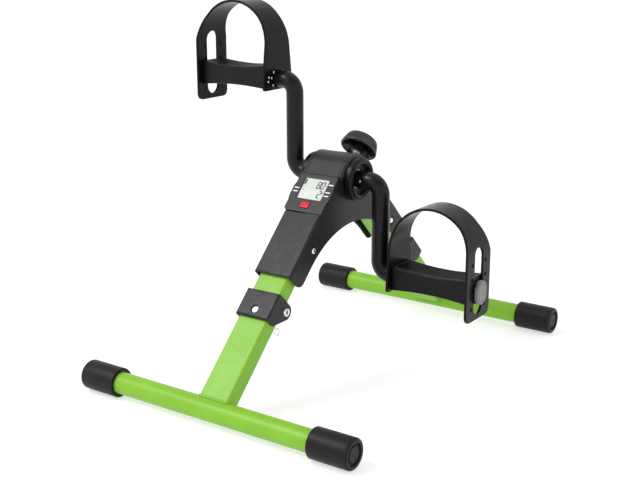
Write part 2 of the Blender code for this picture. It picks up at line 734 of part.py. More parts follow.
def trip_magnet(look, pivot):
    body = cylinder(0.004, 0.004, sides=20)
    place = at(DRUM_WIDTH / 2 + GAP + 0.002, -0.013, HUB_HEIGHT)
    return piece("trip_magnet", body, look, place, pivot)


def crank_placed(end):
    """The right crank hangs down at rest; the left one is the same bar turned half a turn."""
    return at(z=HUB_HEIGHT) @ Matrix.Rotation(0.0 if end > 0 else math.pi, 4, "Y")


def crank_arm(end, look, pivot):
    root_bend = arc((CRANK_OFFSET - CRANK_BEND, -CRANK_BEND), CRANK_BEND, 90, 0, 6)
    tip_bend = arc((CRANK_OFFSET + CRANK_BEND, CRANK_BEND - CRANK_RADIUS), CRANK_BEND, 180, 270, 6)
    run = [(CRANK_ROOT, 0.0)] + root_bend + tip_bend + [(CRANK_TIP, -CRANK_RADIUS)]
    body = rod([(x, 0.0, z) for x, z in run], CRANK_BAR_RADIUS)
    spindle_start = CRANK_OFFSET + CRANK_BEND / 2
    cut(body, cylinder(AXLE_RADIUS + GAP, 2 * CRANK_SOCKET, (CRANK_ROOT, 0.0, 0.0)))
    past_tip = CRANK_TIP + CRANK_BAR_RADIUS
    middle = (spindle_start + past_tip) / 2
    length = past_tip - spindle_start
    cut(body, cylinder(SPINDLE_RADIUS + GAP, length, (middle, 0.0, -CRANK_RADIUS)))
    cut(body, cylinder(CRANK_PIN_RADIUS + GAP, 4 * CRANK_BAR_RADIUS, (CRANK_PIN_OFFSET, 0.0, 0.0), "Y", 16))
    return piece("left_crank" if end < 0 else "right_crank", body, look, crank_placed(end), pivot)


def crank_pin(end, look, pivot):
    """The cross pin that ties a crank to the axle, riveted over at both ends."""
    head = CRANK_BAR_RADIUS + GAP
    profile = [
        (0.0, head + 0.0020),
        (0.0026, head + 0.0018),
        (0.0038, head + 0.0009),
        (0.0040, head),
        (CRANK_PIN_RADIUS, head),
        (CRANK_PIN_RADIUS, -head),
        (0.0034, -head),
        (0.0030, -head - 0.0010),
        (0.0, -head - 0.0013),
    ]
    body = turned([(radius, -height) for radius, height in reversed(profile)], axis="Y", sides=16)
    body.data.transform(at(CRANK_PIN_OFFSET, 0.0, 0.0))
    return piece("left_crank_pin" if end < 0 else "right_crank_pin", body, look, crank_placed(end), pivot)


def spindle(end, look, pivot):
    start = CRANK_OFFSET + CRANK_BEND / 2 + GAP
    finish = PEDAL_CENTRE + PEDAL_END - SPINDLE_END_INSET
    body = cylinder(SPINDLE_RADIUS, finish - start, ((start + finish) / 2, 0.0, -CRANK_RADIUS))
    name = "left_pedal_spindle" if end < 0 else "right_pedal_spindle"
    return piece(name, body, look, crank_placed(end), pivot)


def spindle_clip(end, look, pivot):
    """The retaining ring near the spindle's outer end."""
    near = PEDAL_CENTRE + PEDAL_END - CLIP_INSET
    far = near + CLIP_THICKNESS
    bore = SPINDLE_RADIUS + GAP
    ring = [(CLIP_RADIUS, far), (CLIP_RADIUS, near), (bore, near), (bore, far)]
    body = turned(ring, closed=True)
    body.data.transform(at(0.0, 0.0, -CRANK_RADIUS))
    name = "left_spindle_clip" if end < 0 else "right_spindle_clip"
    return piece(name, body, look, crank_placed(end), pivot)


# ---- pedals ----
def pedal_place(end):
    return at(end * PEDAL_CENTRE, 0.0, HUB_HEIGHT - end * CRANK_RADIUS) @ facing(end)


def pedal_body(end, look, pivot):
    """A dished platform with a boss and two pegs at its outer end, for the strap's slot and holes."""
    steps = 10
    across = [PEDAL_END * (2 * step / steps - 1) for step in range(steps + 1)]
    top = [(x, PEDAL_TOP - PEDAL_DISH * (1 - (x / PEDAL_END) ** 2)) for x in across]
    bottom = [(x, PEDAL_BOTTOM + PEDAL_UNDERCUT * (1 - (x / PEDAL_END) ** 2)) for x in reversed(across)]
    body = extruded([top + bottom], PEDAL_DEPTH, "XZ")
    round_edges(body, PEDAL_EDGE_ROUND)
    root = 0.001
    boss_length = STRAP_THICKNESS + 3 * GAP + root
    boss_centre = PEDAL_END + boss_length / 2 - root
    boss = box((boss_length, *END_BOSS), (boss_centre, 0.0, 0.0))
    join(body, boss)
    for y in (-PEG_SPACING, PEG_SPACING):
        join(body, cylinder(PEG_RADIUS, boss_length, (boss_centre, y, 0.0), sides=8))
    bush_bore = cylinder(PEDAL_BUSH_RADIUS + GAP, 2 * (PEDAL_BUSH_LENGTH + GAP), (-PEDAL_END, 0.0, 0.0))
    bore = cylinder(SPINDLE_RADIUS + GAP, PEDAL_LENGTH)
    clip_room = cylinder(CLIP_RADIUS + 0.0004, 2 * CLIP_ROOM_DEPTH, (PEDAL_END, 0.0, 0.0))
    cut(body, bush_bore, bore, clip_room)
    return piece("left_pedal_body" if end < 0 else "right_pedal_body", body, look, pedal_place(end), pivot)


def pedal_bush(end, look, pivot):
    start = -PEDAL_END
    finish = start + PEDAL_BUSH_LENGTH
    outer = PEDAL_BUSH_RADIUS
    bore = SPINDLE_RADIUS + GAP
    body = turned([(outer, finish), (outer, start), (bore, start), (bore, finish)], closed=True)
    return piece("left_pedal_bush" if end < 0 else "right_pedal_bush", body, look, pedal_place(end), pivot)


def strap_outline():
    outer = STRAP_RADIUS
    inner = STRAP_RADIUS - STRAP_THICKNESS
    centre = (0.0, STRAP_ARCH_HEIGHT)
    over = [(-outer, STRAP_INNER_FOOT)] + arc(centre, outer, 180, 0, 20) + [(outer, STRAP_OUTER_FOOT)]
    back = [(inner, STRAP_OUTER_FOOT)] + arc(centre, inner, 0, 180, 20) + [(-inner, STRAP_INNER_FOOT)]
    return over + back


def strap_edge_cutters():
    """What is taken off the strip: its narrowing over the arch, and its round corners at the outer foot."""
    high = STRAP_ARCH_HEIGHT + 2 * STRAP_RADIUS
    wide = STRAP_WIDTH
    half = STRAP_TOP_WIDTH / 2
    taper = [(half, high), (half, STRAP_TAPER_TOP), (wide / 2 + 0.001, STRAP_TAPER_START)]
    taper += [(wide, STRAP_TAPER_START), (wide, high)]
    corner = STRAP_FOOT_CORNER
    inside = (wide / 2 - corner, STRAP_OUTER_FOOT + corner)
    foot = arc(inside, corner, 0, -90, 4) + [(wide / 2 - corner, STRAP_OUTER_FOOT - corner)]
    foot += [(wide, STRAP_OUTER_FOOT - corner), (wide, STRAP_OUTER_FOOT + corner)]
    for outline, thickness, x in ((taper, 4 * STRAP_RADIUS, 0.0), (foot, THROUGH_STRAP, STRAP_RADIUS)):
        for points in (outline, mirrored(outline)):
            cutter = extruded([points], thickness)
            cutter.data.transform(at(x, 0.0, 0.0))
            yield cutter


def strap(end, look, pivot):
    """The foot strap: a stiff arched strip, with a slot and two rows of holes in its outer leg."""
    body = extruded([strap_outline()], STRAP_WIDTH, "XZ")
    cut(body, *strap_edge_cutters())
    round_end = SLOT_WIDTH / 2
    slot = arc((0.0, SLOT_TOP - round_end), round_end, 0, 180, 8)
    slot += arc((0.0, SLOT_BOTTOM + round_end), round_end, 180, 360, 8)
    slot_cutter = extruded([slot], THROUGH_STRAP)
    slot_cutter.data.transform(at(STRAP_RADIUS, 0.0, 0.0))
    cut(body, slot_cutter)
    for row in range(-1, 3):
        for y in (-PEG_SPACING, PEG_SPACING):
            hole = (STRAP_RADIUS, y, row * PEG_PITCH)
            cut(body, cylinder(PEG_RADIUS + PEG_PLAY, THROUGH_STRAP, hole, sides=8))
    cut(body, cylinder(SPINDLE_RADIUS + SPINDLE_PLAY, THROUGH_STRAP, (-STRAP_RADIUS, 0.0, 0.0)))
    return piece("left_pedal_strap" if end < 0 else "right_pedal_strap", body, look, pedal_place(end), pivot)


def pedal_end_cap(end, look, pivot):
    body = extruded([rounded_rectangle(*END_CAP, END_CAP_CORNER, 5)], END_CAP_THICKNESS)
    round_edges(body, END_CAP_EDGE_ROUND)
    start = STRAP_RADIUS + 4 * GAP
    place = pedal_place(end) @ at(start + END_CAP_THICKNESS / 2, 0.0, 0.0)
    return piece("left_pedal_end_cap" if end < 0 else "right_pedal_end_cap", body, look, place, pivot)


# ---- tension brake ----
def screw_place():
    """The tension screw's frame on the rear face: local y runs inward along the screw."""
    return slope(1, SCREW_ALONG, FACE_OUT)


def brake_shoe(look, pivot):
    hub = (0.0, COVER_RADIUS, HUB_OUT + SCREW_ALONG)
    body = box((SHOE_WIDTH, SHOE_DEPTH, SHOE_HEIGHT), (0.0, SHOE_BACK + SHOE_DEPTH / 2, SHOE_RAISE))
    cut(body, cylinder(DRUM_RADIUS + SHOE_GAP, 2 * SHOE_WIDTH, hub, sides=64))
    cut(body, cylinder(SCREW_RADIUS + GAP, 2 * ROD_SOCKET, (0.0, SHOE_BACK, 0.0), "Y", 20))
    return piece("brake_shoe", body, look, screw_place(), pivot)


def brake_guide(look):
    """A shallow channel behind the shoe that keeps it square to the drum."""
    base = SADDLE_WALL + 2 * GAP
    inside = SHOE_WIDTH / 2 + SHOE_PLAY
    outside = inside + GUIDE_WALL
    reach = SHOE_BACK + GUIDE_REACH
    body = box((2 * outside, reach - base, GUIDE_HEIGHT), (0.0, (reach + base) / 2, GUIDE_RAISE))
    floor = base + GUIDE_WALL - 2 * GAP
    cut(body, box((2 * inside, reach, 2 * GUIDE_HEIGHT), (0.0, floor + reach / 2, SHOE_RAISE)))
    cut(body, cylinder(SCREW_RADIUS + GAP, 2 * reach, axis="Y", sides=20))
    return piece("brake_guide", body, look, screw_place())


def tension_nut(look):
    body = cylinder(NUT_RADIUS, NUT_HEIGHT, (0.0, -GAP - NUT_HEIGHT / 2, 0.0), "Y", 6)
    join(body, cylinder(NUT_NECK_RADIUS, SADDLE_WALL + 2 * GAP, (0.0, SADDLE_WALL / 2 - GAP, 0.0), "Y", 24))
    cut(body, cylinder(SCREW_RADIUS + GAP, 6 * NUT_HEIGHT, axis="Y", sides=20))
    return piece("tension_nut", body, look, screw_place())


def tension_rod(look, pivot):
    inner = SHOE_BACK + ROD_SOCKET - GAP
    outer = KNOB_ROD_COVER - KNOB_STANDOFF - KNOB_HEIGHT
    body = cylinder(SCREW_RADIUS, inner - outer, (0.0, (inner + outer) / 2, 0.0), "Y", 20)
    return piece("tension_rod", body, look, screw_place(), pivot)


def tension_knob(look, pivot):
    """A hollow round knob, open towards the saddle, with a boss that holds the rod."""
    top = KNOB_HEIGHT
    lip = KNOB_RIM_RADIUS - KNOB_WALL
    crown = arc((KNOB_TOP_RADIUS - KNOB_EDGE_ROUND, top - KNOB_EDGE_ROUND), KNOB_EDGE_ROUND, 90, 15, 4)
    outside = [(0.0, top)] + crown + [(KNOB_RIM_RADIUS, 0.0015), (KNOB_RIM_RADIUS - 0.0008, 0.0)]
    cup = [(lip, 0.0), (KNOB_TOP_RADIUS - KNOB_WALL, top - KNOB_WALL), (KNOB_BOSS_RADIUS, top - KNOB_WALL)]
    boss = [(KNOB_BOSS_RADIUS, -KNOB_BOSS_PROUD), (SCREW_RADIUS + GAP, -KNOB_BOSS_PROUD)]
    hole_end = top - KNOB_ROD_COVER + GAP
    hole = [(SCREW_RADIUS + GAP, hole_end), (0.0, hole_end)]
    body = turned(outside + cup + boss + hole, axis="Y", sides=32)
    body.data.transform(Matrix.Rotation(math.pi, 4, "Z"))
    place = screw_place() @ at(0.0, -KNOB_STANDOFF, 0.0)
    return piece("tension_knob", body, look, place, pivot)


# ---- meter ----
def meter_place(depth=0.0, raise_by=0.0):
    """The meter's frame on the front face: y is the depth below its top face, and z runs up the slope."""
    return slope(-1, METER_ALONG - raise_by, METER_TOP_OUT - depth)


def meter_outline():
    """The meter's face: a rounded rectangle whose two sides bulge in the middle."""
    x = METER_WIDTH / 2
    bulge = x + METER_BULGE
    corners = rounded_rectangle(METER_WIDTH, METER_HEIGHT, 0.003)
    right = [(x, -0.0105), (bulge, -0.0085), (bulge, 0.0085), (x, 0.0105)]
    left = [(-a, -b) for a, b in right]
    upper = corners[: len(corners) // 2]
    lower = corners[len(corners) // 2 :]
    return upper + left + lower + right


def meter_case(look):
    body = extruded([meter_outline()], METER_PLATE, "XZ")
    body.data.transform(at(0.0, METER_PLATE / 2, 0.0))
    round_edges(body, 0.0005, 1)
    width, height = METER_TUB
    tub_top = METER_PLATE - 0.0005
    tub_end = METER_PLATE + METER_TUB_DEPTH
    join(body, box((width, tub_end - tub_top, height), (0.0, (tub_top + tub_end) / 2, 0.0)))
    room = (width - 2 * METER_WALL, 2 * METER_TUB_DEPTH, height - 2 * METER_WALL)
    cut(body, box(room, (0.0, METER_PLATE + METER_TUB_DEPTH, 0.0)))
    cut(body, box((WINDOW_SIZE[0], 0.02, WINDOW_SIZE[1]), (0.0, 0.0, WINDOW_RAISE)))
    hole = (BUTTON_SIZE[0] + 2 * GAP, 0.02, BUTTON_SIZE[1] + 2 * GAP)
    cut(body, box(hole, (0.0, 0.0, -BUTTON_DROP)))
    return piece("meter_case", body, look, meter_place())


def meter_lens(look):
    size = (WINDOW_SIZE[0] - 2 * GAP, WINDOW_THICKNESS, WINDOW_SIZE[1] - 2 * GAP)
    place = meter_place(WINDOW_DEPTH + WINDOW_THICKNESS / 2, WINDOW_RAISE)
    return piece("meter_lens", box(size), look, place)


def lcd_panel(look):
    place = meter_place(METER_PLATE + GAP + LCD_SIZE[1] / 2, WINDOW_RAISE)
    return piece("lcd_panel", box(LCD_SIZE), look, place)


def meter_board(look):
    room = [size - 2 * METER_WALL - 0.0012 for size in METER_TUB]
    board = box((room[0], BOARD_THICKNESS, room[1]))
    return piece("meter_board", board, look, meter_place(METER_PLATE + BOARD_DEPTH))


def meter_battery(look):
    place = meter_place(METER_PLATE + BATTERY_DEPTH) @ at(0.008, 0.0, -0.008)
    return piece("meter_battery", cylinder(*BATTERY, axis="Y"), look, place)


def meter_back(look):
    room = [size - 2 * METER_WALL - 2 * GAP for size in METER_TUB]
    lid = box((room[0], BACK_THICKNESS, room[1]))
    return piece("meter_back", lid, look, meter_place(METER_PLATE + BACK_DEPTH))


def meter_button(look, pivot):
    """A cap that stands out of the case, over a flange that stops it from falling out."""
    flange_top = METER_PLATE + GAP
    size = (BUTTON_SIZE[0], BUTTON_PROUD + flange_top, BUTTON_SIZE[1])
    body = box(size, (0.0, (flange_top - BUTTON_PROUD) / 2, 0.0))
    round_edges(body, BUTTON_EDGE_ROUND)
    join(body, box(BUTTON_FLANGE, (0.0, flange_top + BUTTON_FLANGE[1] / 2, 0.0)))
    return piece("meter_button", body, look, meter_place(0.0, -BUTTON_DROP), pivot)


def reed_sensor(look):
    thickness = 0.0042
    x = SADDLE_INSIDE - GAP - thickness / 2
    return piece("reed_sensor", box((thickness, 0.008, 0.010)), look, at(x, -0.0172, HUB_HEIGHT))


def smooth_route(points, steps=4):
    """Points of the smooth curve that passes through all of a route's own points."""
    ends = [points[0]] + points + [points[-1]]
    run = []
    for a, b, c, d in zip(ends, ends[1:], ends[2:], ends[3:]):
        for step in range(steps):
            t = step / steps
            bend = (2 * a - 5 * b + 4 * c - d) * t**2 + (3 * b - 3 * c + d - a) * t**3
            run.append(b + ((c - a) * t + bend) / 2)
    return run + [points[-1]]


def sensor_lead(look):
    """The short two-core lead from the sensor to the back of the meter."""
    start = Vector((SADDLE_INSIDE - 0.0025, -0.0175, HUB_HEIGHT - 0.0053))
    plug = meter_place(METER_PLATE + 0.0142) @ at(0.010, 0.0, 0.005)
    finish = plug.translation
    before = (plug @ at(0.0, 0.0035, 0.0)).translation
    route = [start, start + Vector((0.0, 0.0, -0.003)), Vector((0.0185, -0.0215, 0.2200)), before, finish]
    return piece("sensor_lead", rod(smooth_route(route), 0.0011, 2), look)


# ---- the whole object ----
def build_frame(looks):
    saddle(looks["black_steel"])
    top_cover(looks["black_plastic"])
    for side in (-1, 1):
        leg_stub(side, looks["green_paint"])
        bracket(side, looks["black_steel"])
        frame_rivet(side, looks["chrome"])
        pivot_rivet(side, looks["chrome"])
    for end in (-1, 1):
        bush(end, looks["white_nylon"])
        hub_cap(end, looks["black_plastic"])


def build_leg(side, looks):
    row = "front" if side < 0 else "rear"
    pivot = pivot_empty(f"{row}_leg_pivot", slope(side, PIVOT_ALONG, PIVOT_OUT))
    leg_tube(side, looks["green_paint"], pivot)
    foot_tube(side, looks["green_paint"], pivot)
    for end in (-1, 1):
        foot_cap(side, end, looks["rubber"], pivot)
    lock_axis = pivot_empty(f"{row}_lock_axis", slope(side, LOCK_ALONG, LEG_FACE_OUT))
    lock_axis.parent = pivot
    lock_axis.matrix_parent_inverse = pivot.matrix_basis.inverted()
    lock_pin(side, looks["chrome"], lock_axis)


def build_crank(looks):
    pivot = pivot_empty("crank_pivot", at(z=HUB_HEIGHT))
    axle(looks["steel"], pivot)
    brake_drum(looks["steel"], pivot)
    trip_magnet(looks["steel"], pivot)
    for end in (-1, 1):
        crank_arm(end, looks["black_gloss"], pivot)
        crank_pin(end, looks["chrome"], pivot)
        spindle(end, looks["steel"], pivot)
        spindle_clip(end, looks["steel"], pivot)
        hand = "left" if end < 0 else "right"
        pedal_pivot = pivot_empty(f"{hand}_pedal_pivot", pedal_place(end))
        pedal_pivot.parent = pivot
        pedal_pivot.matrix_parent_inverse = pivot.matrix_basis.inverted()
        pedal_body(end, looks["black_plastic"], pedal_pivot)
        pedal_bush(end, looks["white_nylon"], pedal_pivot)
        strap(end, looks["black_gloss"], pedal_pivot)
        pedal_end_cap(end, looks["grey_plastic"], pedal_pivot)


def build_brake(looks):
    slide = pivot_empty("brake_slide", screw_place())
    brake_shoe(looks["white_nylon"], slide)
    brake_guide(looks["steel"])
    tension_nut(looks["chrome"])
    screw = pivot_empty("screw_axis", screw_place())
    screw.parent = slide
    screw.matrix_parent_inverse = slide.matrix_basis.inverted()
    tension_rod(looks["chrome"], screw)
    tension_knob(looks["black_plastic"], screw)


def build_meter(looks):
    meter_case(looks["black_plastic"])
    meter_lens(looks["clear"])
    lcd_panel(looks["display"])
    meter_board(looks["board_green"])
    meter_battery(looks["steel"])
    meter_back(looks["black_plastic"])
    press = pivot_empty("button_axis", meter_place(0.0, -BUTTON_DROP))
    meter_button(looks["red_plastic"], press)
    reed_sensor(looks["black_plastic"])
    sensor_lead(looks["rubber"])


def main():
    clear_scene()
    looks = {
        "black_steel": material("black_steel", (0.050, 0.050, 0.052), 0.42),
        "black_plastic": material("black_plastic", (0.045, 0.045, 0.047), 0.48),
        "black_gloss": material("black_gloss", (0.030, 0.030, 0.032), 0.34),
        "grey_plastic": material("grey_plastic", (0.180, 0.180, 0.185), 0.50),
        "green_paint": material("green_paint", (0.340, 0.760, 0.080), 0.28),
        "rubber": material("rubber", (0.025, 0.025, 0.026), 0.62),
        "chrome": material("chrome", (0.800, 0.800, 0.810), 0.12, 1.0),
        "steel": material("steel", (0.550, 0.550, 0.560), 0.30, 1.0),
        "white_nylon": material("white_nylon", (0.780, 0.770, 0.730), 0.50),
        "red_plastic": material("red_plastic", (0.680, 0.035, 0.040), 0.35),
        "clear": material("clear", (0.850, 0.880, 0.860), 0.06),
        "display": material("display", (0.680, 0.740, 0.660), 0.30),
        "board_green": material("board_green", (0.030, 0.220, 0.080), 0.45),
    }
    build_frame(looks)
    build_leg(-1, looks)
    build_leg(1, looks)
    build_crank(looks)
    build_brake(looks)
    build_meter(looks)


main()
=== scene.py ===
"""The looks of the folding pedal exerciser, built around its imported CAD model.

Metres, +Z up, in the CAD model's own frame. Places and main sizes come from the CAD nodes' boxes. Most pieces
are made in a slope's frame: x across the machine, y inward from the outer face, z up the slope.
"""

import json
import math

import bmesh
import bpy
from mathutils import Matrix, Vector

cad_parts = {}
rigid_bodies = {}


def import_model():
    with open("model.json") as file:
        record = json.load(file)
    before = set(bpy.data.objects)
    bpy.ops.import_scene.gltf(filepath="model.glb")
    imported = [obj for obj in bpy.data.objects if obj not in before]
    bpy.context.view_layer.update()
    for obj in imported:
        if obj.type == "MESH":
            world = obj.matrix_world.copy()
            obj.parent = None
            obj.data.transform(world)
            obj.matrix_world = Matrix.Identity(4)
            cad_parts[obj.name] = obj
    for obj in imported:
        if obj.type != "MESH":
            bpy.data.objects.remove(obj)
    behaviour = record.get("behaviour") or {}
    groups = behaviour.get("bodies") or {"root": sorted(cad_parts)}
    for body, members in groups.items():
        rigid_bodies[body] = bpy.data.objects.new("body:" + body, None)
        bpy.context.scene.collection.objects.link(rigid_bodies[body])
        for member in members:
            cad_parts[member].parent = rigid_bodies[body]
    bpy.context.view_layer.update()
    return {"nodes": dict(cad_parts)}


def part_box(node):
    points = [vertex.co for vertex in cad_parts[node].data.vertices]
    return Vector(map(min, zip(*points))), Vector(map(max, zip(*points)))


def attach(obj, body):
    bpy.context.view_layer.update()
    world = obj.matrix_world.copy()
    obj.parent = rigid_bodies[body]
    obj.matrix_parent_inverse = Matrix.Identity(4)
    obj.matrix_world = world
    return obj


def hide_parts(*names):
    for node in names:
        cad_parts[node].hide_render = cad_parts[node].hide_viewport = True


for startup in list(bpy.data.objects):
    bpy.data.objects.remove(startup, do_unlink=True)
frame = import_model()


# ---- sizes read from the CAD nodes ----
def middle(node):
    low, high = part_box(node)
    return (low + high) / 2


def extent(node):
    low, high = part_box(node)
    return high - low


GAP = 0.0003
HUB = middle("crank_axle")
PEDAL_X = middle("right_pedal_strap").x
CRANK_RADIUS = middle("left_pedal_spindle").z - HUB.z
STRAP_REACH = extent("right_pedal_strap").x / 2
STRAP_HALF_WIDTH = extent("right_pedal_strap").y / 2
STRAP_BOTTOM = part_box("right_pedal_strap")[0].z - middle("right_pedal_spindle").z
PEDAL_HALF_DEPTH = extent("right_pedal_body").y / 2
CRANK_BAR_RADIUS = extent("right_crank").y / 2
CRANK_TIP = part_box("right_crank")[1].x
CRANK_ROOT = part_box("right_crank")[0].x
COVER_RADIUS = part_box("top_cover")[1].z - HUB.z
COVER_HALF_WIDTH = extent("top_cover").x / 2
SADDLE_HALF_WIDTH = extent("saddle_frame").x / 2
LEG_HALF_WIDTH = extent("front_leg").x / 2
BRACKET_HALF_WIDTH = extent("front_bracket").x / 2
HUB_CAP_RADIUS = extent("right_hub_cap").z / 2
HUB_CAP_NEAR, HUB_CAP_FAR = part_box("right_hub_cap")[0].x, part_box("right_hub_cap")[1].x
FOOT_SPREAD = middle("rear_foot_tube").y
FOOT_TUBE_RADIUS = extent("rear_foot_tube").y / 2
FOOT_TUBE_HALF = extent("rear_foot_tube").x / 2
FOOT_CAP_RADIUS = extent("rear_right_foot_cap").z / 2
FOOT_CAP_LENGTH = extent("rear_right_foot_cap").x
FOOT_CAP_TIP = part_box("rear_right_foot_cap")[1].x
KNOB_RADIUS = extent("tension_knob").x / 2

SLOPE = math.radians(45)
HUB_OUT = HUB.z * math.cos(SLOPE)
FACE_OUT = HUB_OUT + COVER_RADIUS
FOOT_ALONG = (FOOT_SPREAD - FOOT_CAP_RADIUS) * math.cos(SLOPE)
FOOT_OUT = (FOOT_SPREAD + FOOT_CAP_RADIUS) * math.cos(SLOPE)

# ---- sizes that the boxes don't show ----
LEG_INSET = 0.005
LEG_DEPTH = 0.020
LEG_CORNER = 0.003
PIVOT_ALONG = 0.0215
PIVOT_INSET = 0.0265
FRAME_RIVET_ALONG = -0.0563
FRAME_RIVET_INSET = 0.0188
LOCK_ALONG = 0.036
LOCK_NOSE_RADIUS = 0.0042
LOCK_STEM_RADIUS = 0.0025
PULL_RING_RADIUS = 0.0042
PULL_RING_WIRE = 0.0012
CRANK_OFFSET = 0.062
CRANK_BEND = 0.016
CRANK_PIN_OFFSET = 0.0385
SPINDLE_RADIUS = 0.006
PEDAL_END = 0.0497
PEDAL_TOP = 0.0175
PEDAL_BOTTOM = -0.0125
PEDAL_DISH = 0.004
PEDAL_UNDERCUT = 0.003
STRAP_THICKNESS = 0.003
STRAP_TOP_HALF_WIDTH = 0.0195
STRAP_INNER_FOOT = -0.013
STRAP_TAPER_START = 0.044
STRAP_INNER_TAPER = 0.002
STRAP_TAPER_TOP = 0.074
STRAP_CORNER = 0.008
STRAP_INNER_CORNER = 0.0025
PEDAL_ARCH = 0.040
SLOT_HALF_WIDTH = 0.010
SLOT_TOP = 0.052
SLOT_BOTTOM = -0.026
PEG_SPACING = 0.0155
PEG_PITCH = 0.0173
PEG_HOLE_RADIUS = 0.0022
PEG_HOLE_DEPTH = 0.0011
END_CAP = (0.023, 0.028)
END_CAP_THICKNESS = 0.0045
METER_ALONG = -0.1195
METER_HALF_WIDTH = 0.0268
METER_HALF_HEIGHT = 0.0262
METER_BULGE = 0.0014
METER_PROUD = 0.0016
METER_PLATE = 0.0036
METER_TUB = (0.044, 0.048, 0.0148)
METER_WALL = 0.0018
WINDOW = (0.0333, 0.0285)
WINDOW_RAISE = 0.006
BUTTON = (0.0123, 0.0085)
BUTTON_DROP = 0.0168
BUTTON_PROUD = 0.0014
SCREW_ALONG = -0.151
SCREW_RADIUS = 0.004
SCREW_LEAD = 0.00125
NUT_RADIUS = 0.0085
NUT_DEPTH = 0.0047
KNOB_STANDOFF = 0.020
KNOB_HEIGHT = 0.016
KNOB_TOP_RADIUS = 0.020
KNOB_WALL = 0.0025
KNOB_BOSS_RADIUS = 0.007
KNOB_FOOT_EDGE = 0.0015
FLUTES = 64
FLUTE_DEPTH = 0.0007


# ---- placing ----
def at(x=0.0, y=0.0, z=0.0):
    return Matrix.Translation((x, y, z))


def slope(side, along, out):
    """A frame on a slope, side -1 at the front and +1 at the rear: y points inward and z up the slope."""
    turn = Matrix.Rotation(0.0 if side < 0 else math.pi, 4, "Z") @ Matrix.Rotation(-SLOPE, 4, "X")
    return turn @ Matrix.Translation((0.0, -out, -along))


def facing(side):
    return Matrix.Rotation(0.0 if side > 0 else math.pi, 4, "Z")


def crank_placed(end):
    return at(*HUB) @ Matrix.Rotation(0.0 if end > 0 else math.pi, 4, "Y")


def pedal_place(end):
    return at(end * PEDAL_X, 0.0, HUB.z - end * CRANK_RADIUS) @ facing(end)


METER_PLACE = slope(-1, METER_ALONG, FACE_OUT + METER_PROUD)
SCREW_PLACE = slope(1, SCREW_ALONG, FACE_OUT)
ROW = {-1: "front", 1: "rear"}
HAND = {-1: "left", 1: "right"}
ALONG_Y = Matrix.Rotation(math.pi / 2, 4, "Z")


# ---- materials ----
class Finish:
    """A Principled material with helpers for the nodes that vary its colour, roughness and relief."""

    def __init__(self, name, colour, roughness, metallic=0.0, **inputs):
        self.material = bpy.data.materials.new(name)
        self.material.use_nodes = True
        self.nodes = self.material.node_tree.nodes
        self.links = self.material.node_tree.links
        self.shader = self.nodes["Principled BSDF"]
        self.fill(self.shader, Base_Color=(*colour, 1.0), Roughness=roughness, Metallic=metallic, **inputs)
        self.colour = colour
        self.roughness = roughness
        self.place = self.nodes.new("ShaderNodeTexCoord").outputs["Object"]
        self.relief = None

    def feed(self, socket, value):
        """Links a socket to another one, or sets it to a constant."""
        if isinstance(value, bpy.types.NodeSocket):
            self.links.new(value, socket)
        else:
            socket.default_value = value

    def fill(self, node, **inputs):
        for name, value in inputs.items():
            self.feed(node.inputs[name.replace("_", " ")], value)

    def node(self, kind, **inputs):
        made = self.nodes.new("ShaderNode" + kind)
        self.fill(made, **inputs)
        return made

    def maths(self, operation, *values):
        step = self.node("Math")
        step.operation = operation
        for socket, value in zip(step.inputs, values):
            self.feed(socket, value)
        return step.outputs["Value"]

    def noise(self, scale, detail=3.0, stretch=None):
        place = self.place
        if stretch:
            place = self.node("Mapping", Scale=stretch, Vector=place).outputs["Vector"]
        return self.node("TexNoise", Scale=scale, Detail=detail, Vector=place).outputs["Fac"]

    def cells(self, scale):
        return self.node("TexVoronoi", Scale=scale, Vector=self.place).outputs["Distance"]

    def ranged(self, value, low, high, start=0.3, end=0.7):
        """Takes a value that runs from start to end over to one that runs from low to high."""
        limits = {"From_Min": start, "From_Max": end, "To_Min": low, "To_Max": high}
        return self.node("MapRange", Value=value, **limits).outputs["Result"]

    def tone(self, value, darker, lighter):
        """The base colour runs from darker to lighter times itself with the value."""
        ramp = self.node("ValToRGB", Fac=value)
        stops = ramp.color_ramp.elements
        for stop, position, times in ((stops[0], 0.3, darker), (stops[1], 0.7, lighter)):
            stop.position = position
            stop.color = (*[min(1.0, c * times) for c in self.colour], 1.0)
        self.shade = ramp.outputs["Color"]
        self.fill(self.shader, Base_Color=self.shade)

    def gloss(self, value, spread):
        self.rough = self.ranged(value, max(0.02, self.roughness - spread), self.roughness + spread)
        self.fill(self.shader, Roughness=self.rough)

    def worn(self, rubbed, reach, amount, dulled):
        """Along outward edges, in patches, the colour goes over to a rubbed one and the gloss changes."""
        near = self.node("AmbientOcclusion", Distance=reach)
        near.inside = True
        near.only_local = True
        near.samples = 4
        edge = self.ranged(near.outputs["AO"], 0.0, 1.0, 0.80, 0.45)
        patches = self.ranged(self.noise(160.0, 5.0), 0.25 * amount, amount)
        mask = self.maths("MULTIPLY", edge, patches)
        paint = self.node("Mix")
        paint.data_type = "RGBA"
        self.fill(paint, Factor=mask, A=self.shade, B=(*rubbed, 1.0))
        duller = self.maths("MULTIPLY_ADD", mask, dulled, self.rough)
        self.fill(self.shader, Base_Color=paint.outputs["Result"], Roughness=duller)

    def bump(self, value, depth):
        step = self.node("Bump", Distance=depth, Height=value)
        if self.relief:
            self.fill(step, Normal=self.relief)
        self.relief = step.outputs["Normal"]
        self.fill(self.shader, Normal=self.relief)


